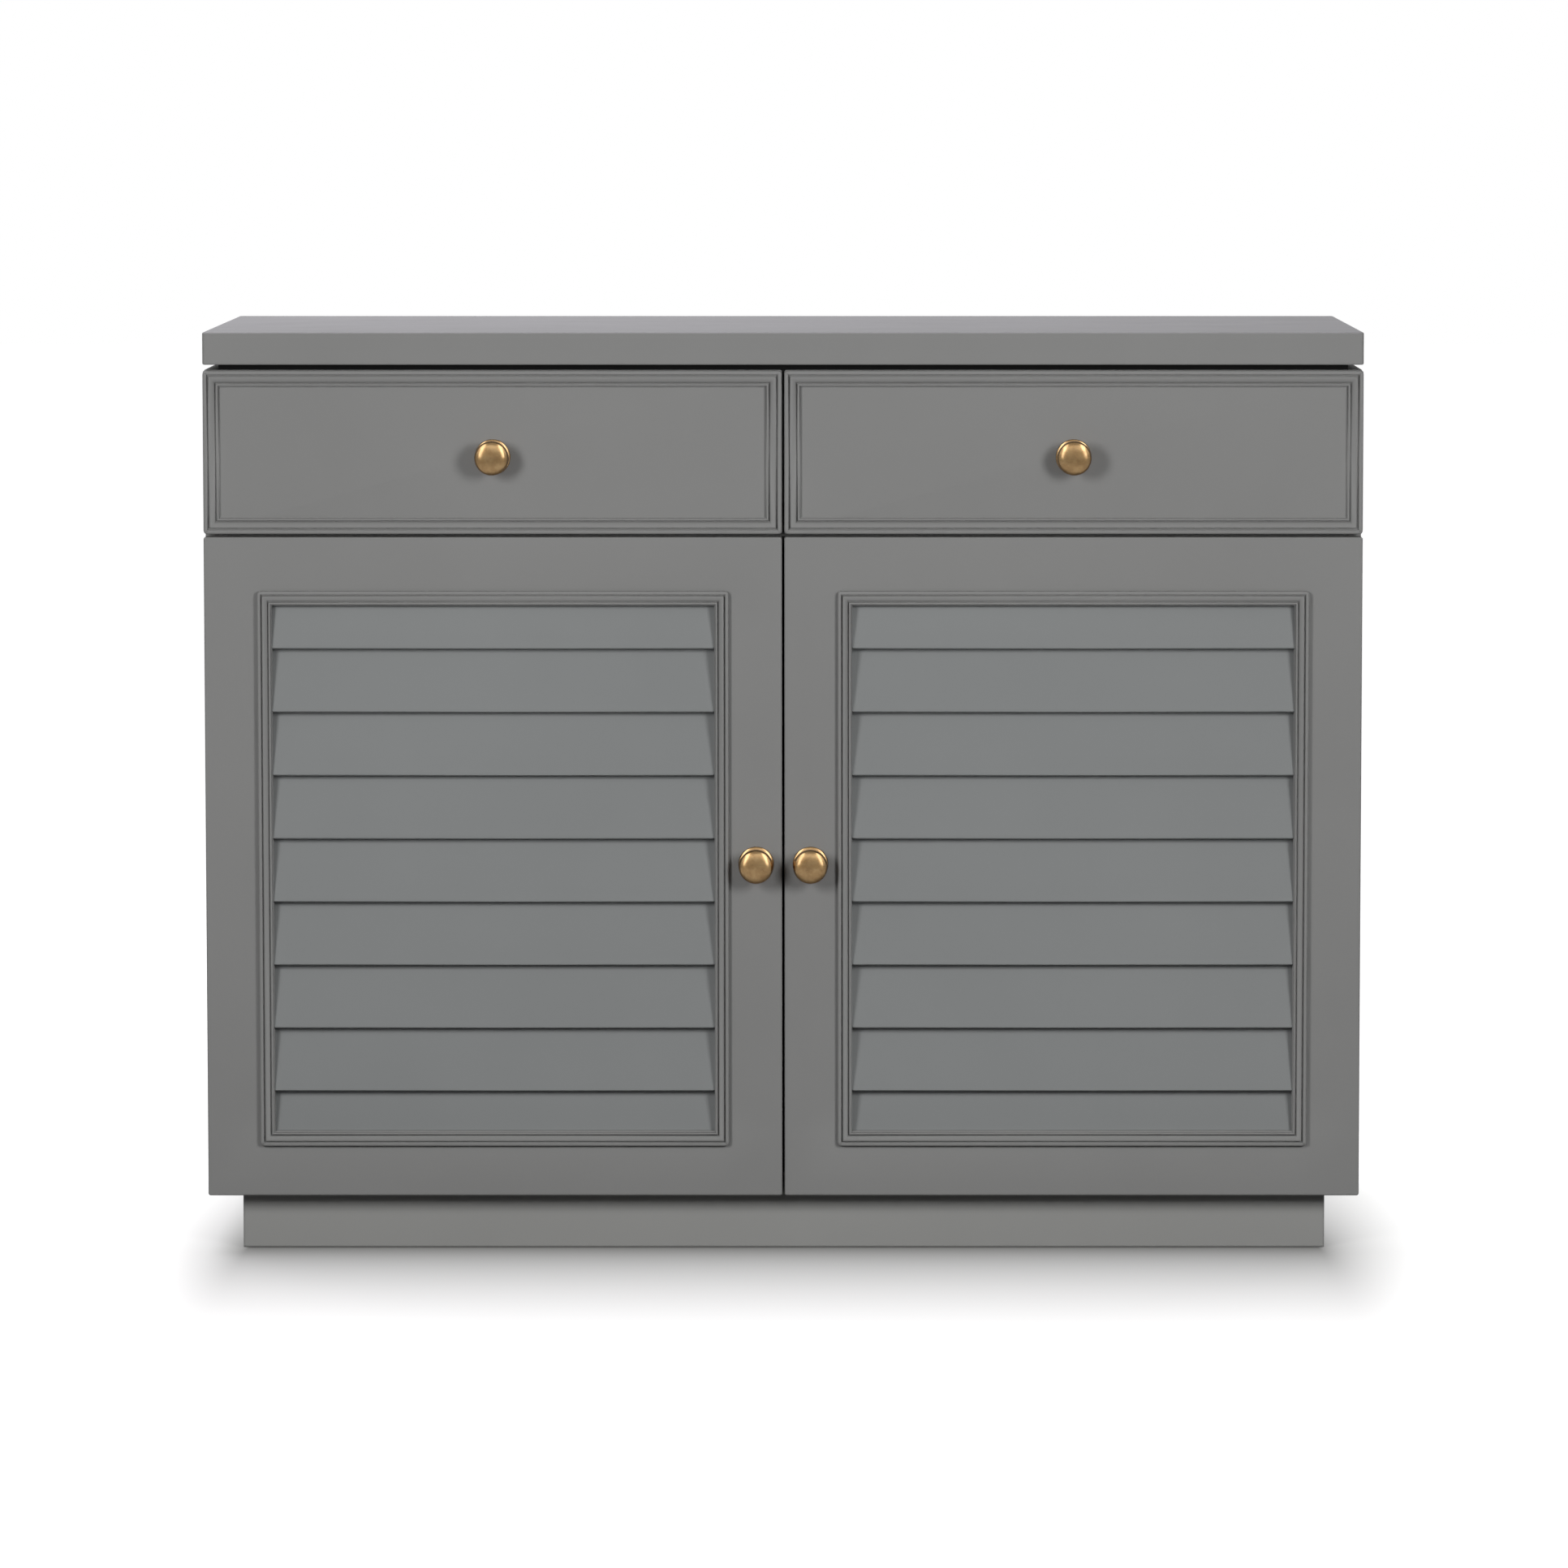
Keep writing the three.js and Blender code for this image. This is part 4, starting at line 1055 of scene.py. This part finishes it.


# The glow is held back near the plinth: a painted shadow round the foot, on top of the real one.
aside = steps_away(
    spot.outputs["X"], foot_low.x + SHADOW_INSET, foot_high.x - SHADOW_INSET, SHADOW_ASIDE)
in_front = steps_away(spot.outputs["Y"], foot_low.y, foot_low.y, SHADOW_IN_FRONT)
away = put(floor_paint, "ShaderNodeVectorMath", {
    0: put(floor_paint, "ShaderNodeCombineXYZ", {"X": aside, "Y": in_front}).outputs[0]},
    operation="LENGTH")
faded = put(floor_paint, "ShaderNodeMath", {
    0: away.outputs["Value"], 1: SHADOW_FADE}, operation="POWER")
far = put(floor_paint, "ShaderNodeMapRange", {"Value": faded.outputs[0]})
glow = put(floor_paint, "ShaderNodeMath", {0: shown, 1: far.outputs["Result"]},
           operation="MULTIPLY")
albedo = put(floor_paint, "ShaderNodeMix", {
    0: shown, 6: linear("#6c6c6c"), 7: linear("#8a8987")}, data_type="RGBA")
matt = put(floor_paint, "ShaderNodeBsdfDiffuse", {"Color": albedo.outputs[2]})
white = put(floor_paint, "ShaderNodeEmission", {
    "Color": linear("#ffffff"), "Strength": glow.outputs[0]})
both = put(floor_paint, "ShaderNodeAddShader", {0: matt.outputs[0], 1: white.outputs[0]})
put(floor_paint, "ShaderNodeOutputMaterial", {"Surface": both.outputs[0]})

bpy.ops.object.select_all(action="DESELECT")
bpy.ops.mesh.primitive_plane_add(size=FLOOR_SIZE, location=(0, 0, 0))
floor = bpy.context.object
floor.name = "studio_floor"
floor.data.materials.append(floor_paint)
print("floor", FLOOR_SIZE, "m wide")

# %% [markdown]
# ## What the metal mirrors
#
# Brass shows the room more than its own colour. A photographer sets bright cards where the metal
# mirrors them and leaves the rest dim. The world does that here: a dim room behind the cabinet, a
# brighter one before it, a screen above the camera and a bright card at either side. Only
# reflections see them. The camera sees plain white, and bounced light next to nothing, so the
# lamps alone light the paint.

# %% The world
ROOM_LIGHT = 0.03
BACK_GLOW = 0.28
FRONT_GLOW = 0.25
SCREEN_GLOW = 0.7
CARD_GLOW = 3.0

world = bpy.data.worlds.new("studio")
world.use_nodes = True
world.node_tree.nodes.clear()
bpy.context.scene.world = world
towards = put(world, "ShaderNodeSeparateXYZ", {
    0: put(world, "ShaderNodeTexCoord").outputs["Generated"]})
forth, up = towards.outputs["Y"], towards.outputs["Z"]
sideways = put(world, "ShaderNodeMath", {0: towards.outputs["X"]}, operation="ABSOLUTE").outputs[0]


def lit_part(glow, rest, *limits):
    """The rest of the room with a part added, bright within soft limits on its direction."""
    share = 1.0
    for value, dark, bright in limits:
        rise = put(world, "ShaderNodeMapRange", {
            "Value": value, "From Min": dark, "From Max": bright},
            interpolation_type="SMOOTHSTEP")
        share = put(world, "ShaderNodeMath", {0: rise.outputs["Result"], 1: share},
                    operation="MULTIPLY").outputs[0]
    return put(world, "ShaderNodeMath", {0: share, 1: glow, 2: rest},
               operation="MULTIPLY_ADD").outputs[0]


front = lit_part(SCREEN_GLOW, FRONT_GLOW, (up, 0.12, 0.45), (up, 0.9, 0.7))
front = lit_part(
    CARD_GLOW, front, (up, -0.05, 0.12), (sideways, 0.38, 0.5), (sideways, 0.8, 0.66))
mirrored = lit_part(front, BACK_GLOW, (forth, 0.35, 0.0))
sky = put(world, "ShaderNodeBackground", {
    "Color": linear("#ffffff"), "Strength": by_ray(world, ROOM_LIGHT, mirrored, 1.0)})
put(world, "ShaderNodeOutputWorld", {"Surface": sky.outputs[0]})
print("nodes in the world:", len(world.node_tree.nodes))

# %% [markdown]
# ## The lamps
#
# Two soft boxes stand at either side of the camera, a little above the cabinet, and a larger one
# hangs over it. Each knob throws two soft shadows, which says where the boxes stand. Two weaker
# ones behind the cabinet light its sides and its back for the other views. Reflections have the
# cards, so they don't see the lamps.

# %% Set up the lamps
WHITE, COOL = "#ffffff", "#f8f5ff"
LAMPS = (  # name, place, aim, width and height, watts, tint
    ("left_soft_box", (-1.31, -2.29, 1.13), (1.0, FRONT_PLANE, 0.85), (0.6, 0.85), 32.2, WHITE),
    ("right_soft_box", (1.31, -2.29, 1.13), (-1.0, FRONT_PLANE, 0.85), (0.6, 0.85), 34.2, WHITE),
    ("top_soft_box", (-0.55, 0.35, 2.7), (-0.55, 0.35, 0), (1.8, 1.1), 66, COOL),
    ("back_left_soft_box", (-1.7, 2.1, 1.4), (0, 0.2, 0.4), (0.9, 0.9), 16, WHITE),
    ("back_right_soft_box", (1.7, 2.1, 1.4), (0, 0.2, 0.4), (0.9, 0.9), 16, WHITE),
)

for name, place, aim, size, watts, tint in LAMPS:
    lamp = bpy.data.lights.new(name, "AREA")
    lamp.shape = "RECTANGLE"
    lamp.size, lamp.size_y = size
    lamp.energy = watts
    lamp.color = linear(tint)[:3]
    holder = bpy.data.objects.new(name, lamp)
    holder.visible_glossy = False
    holder.location = place
    holder.rotation_euler = (Vector(aim) - Vector(place)).to_track_quat("-Z", "Y").to_euler()
    bpy.context.scene.collection.objects.link(holder)
print("lamps:", len(LAMPS))

# %% [markdown]
# ## Finish
#

# %% Finish
bpy.context.view_layer.update()
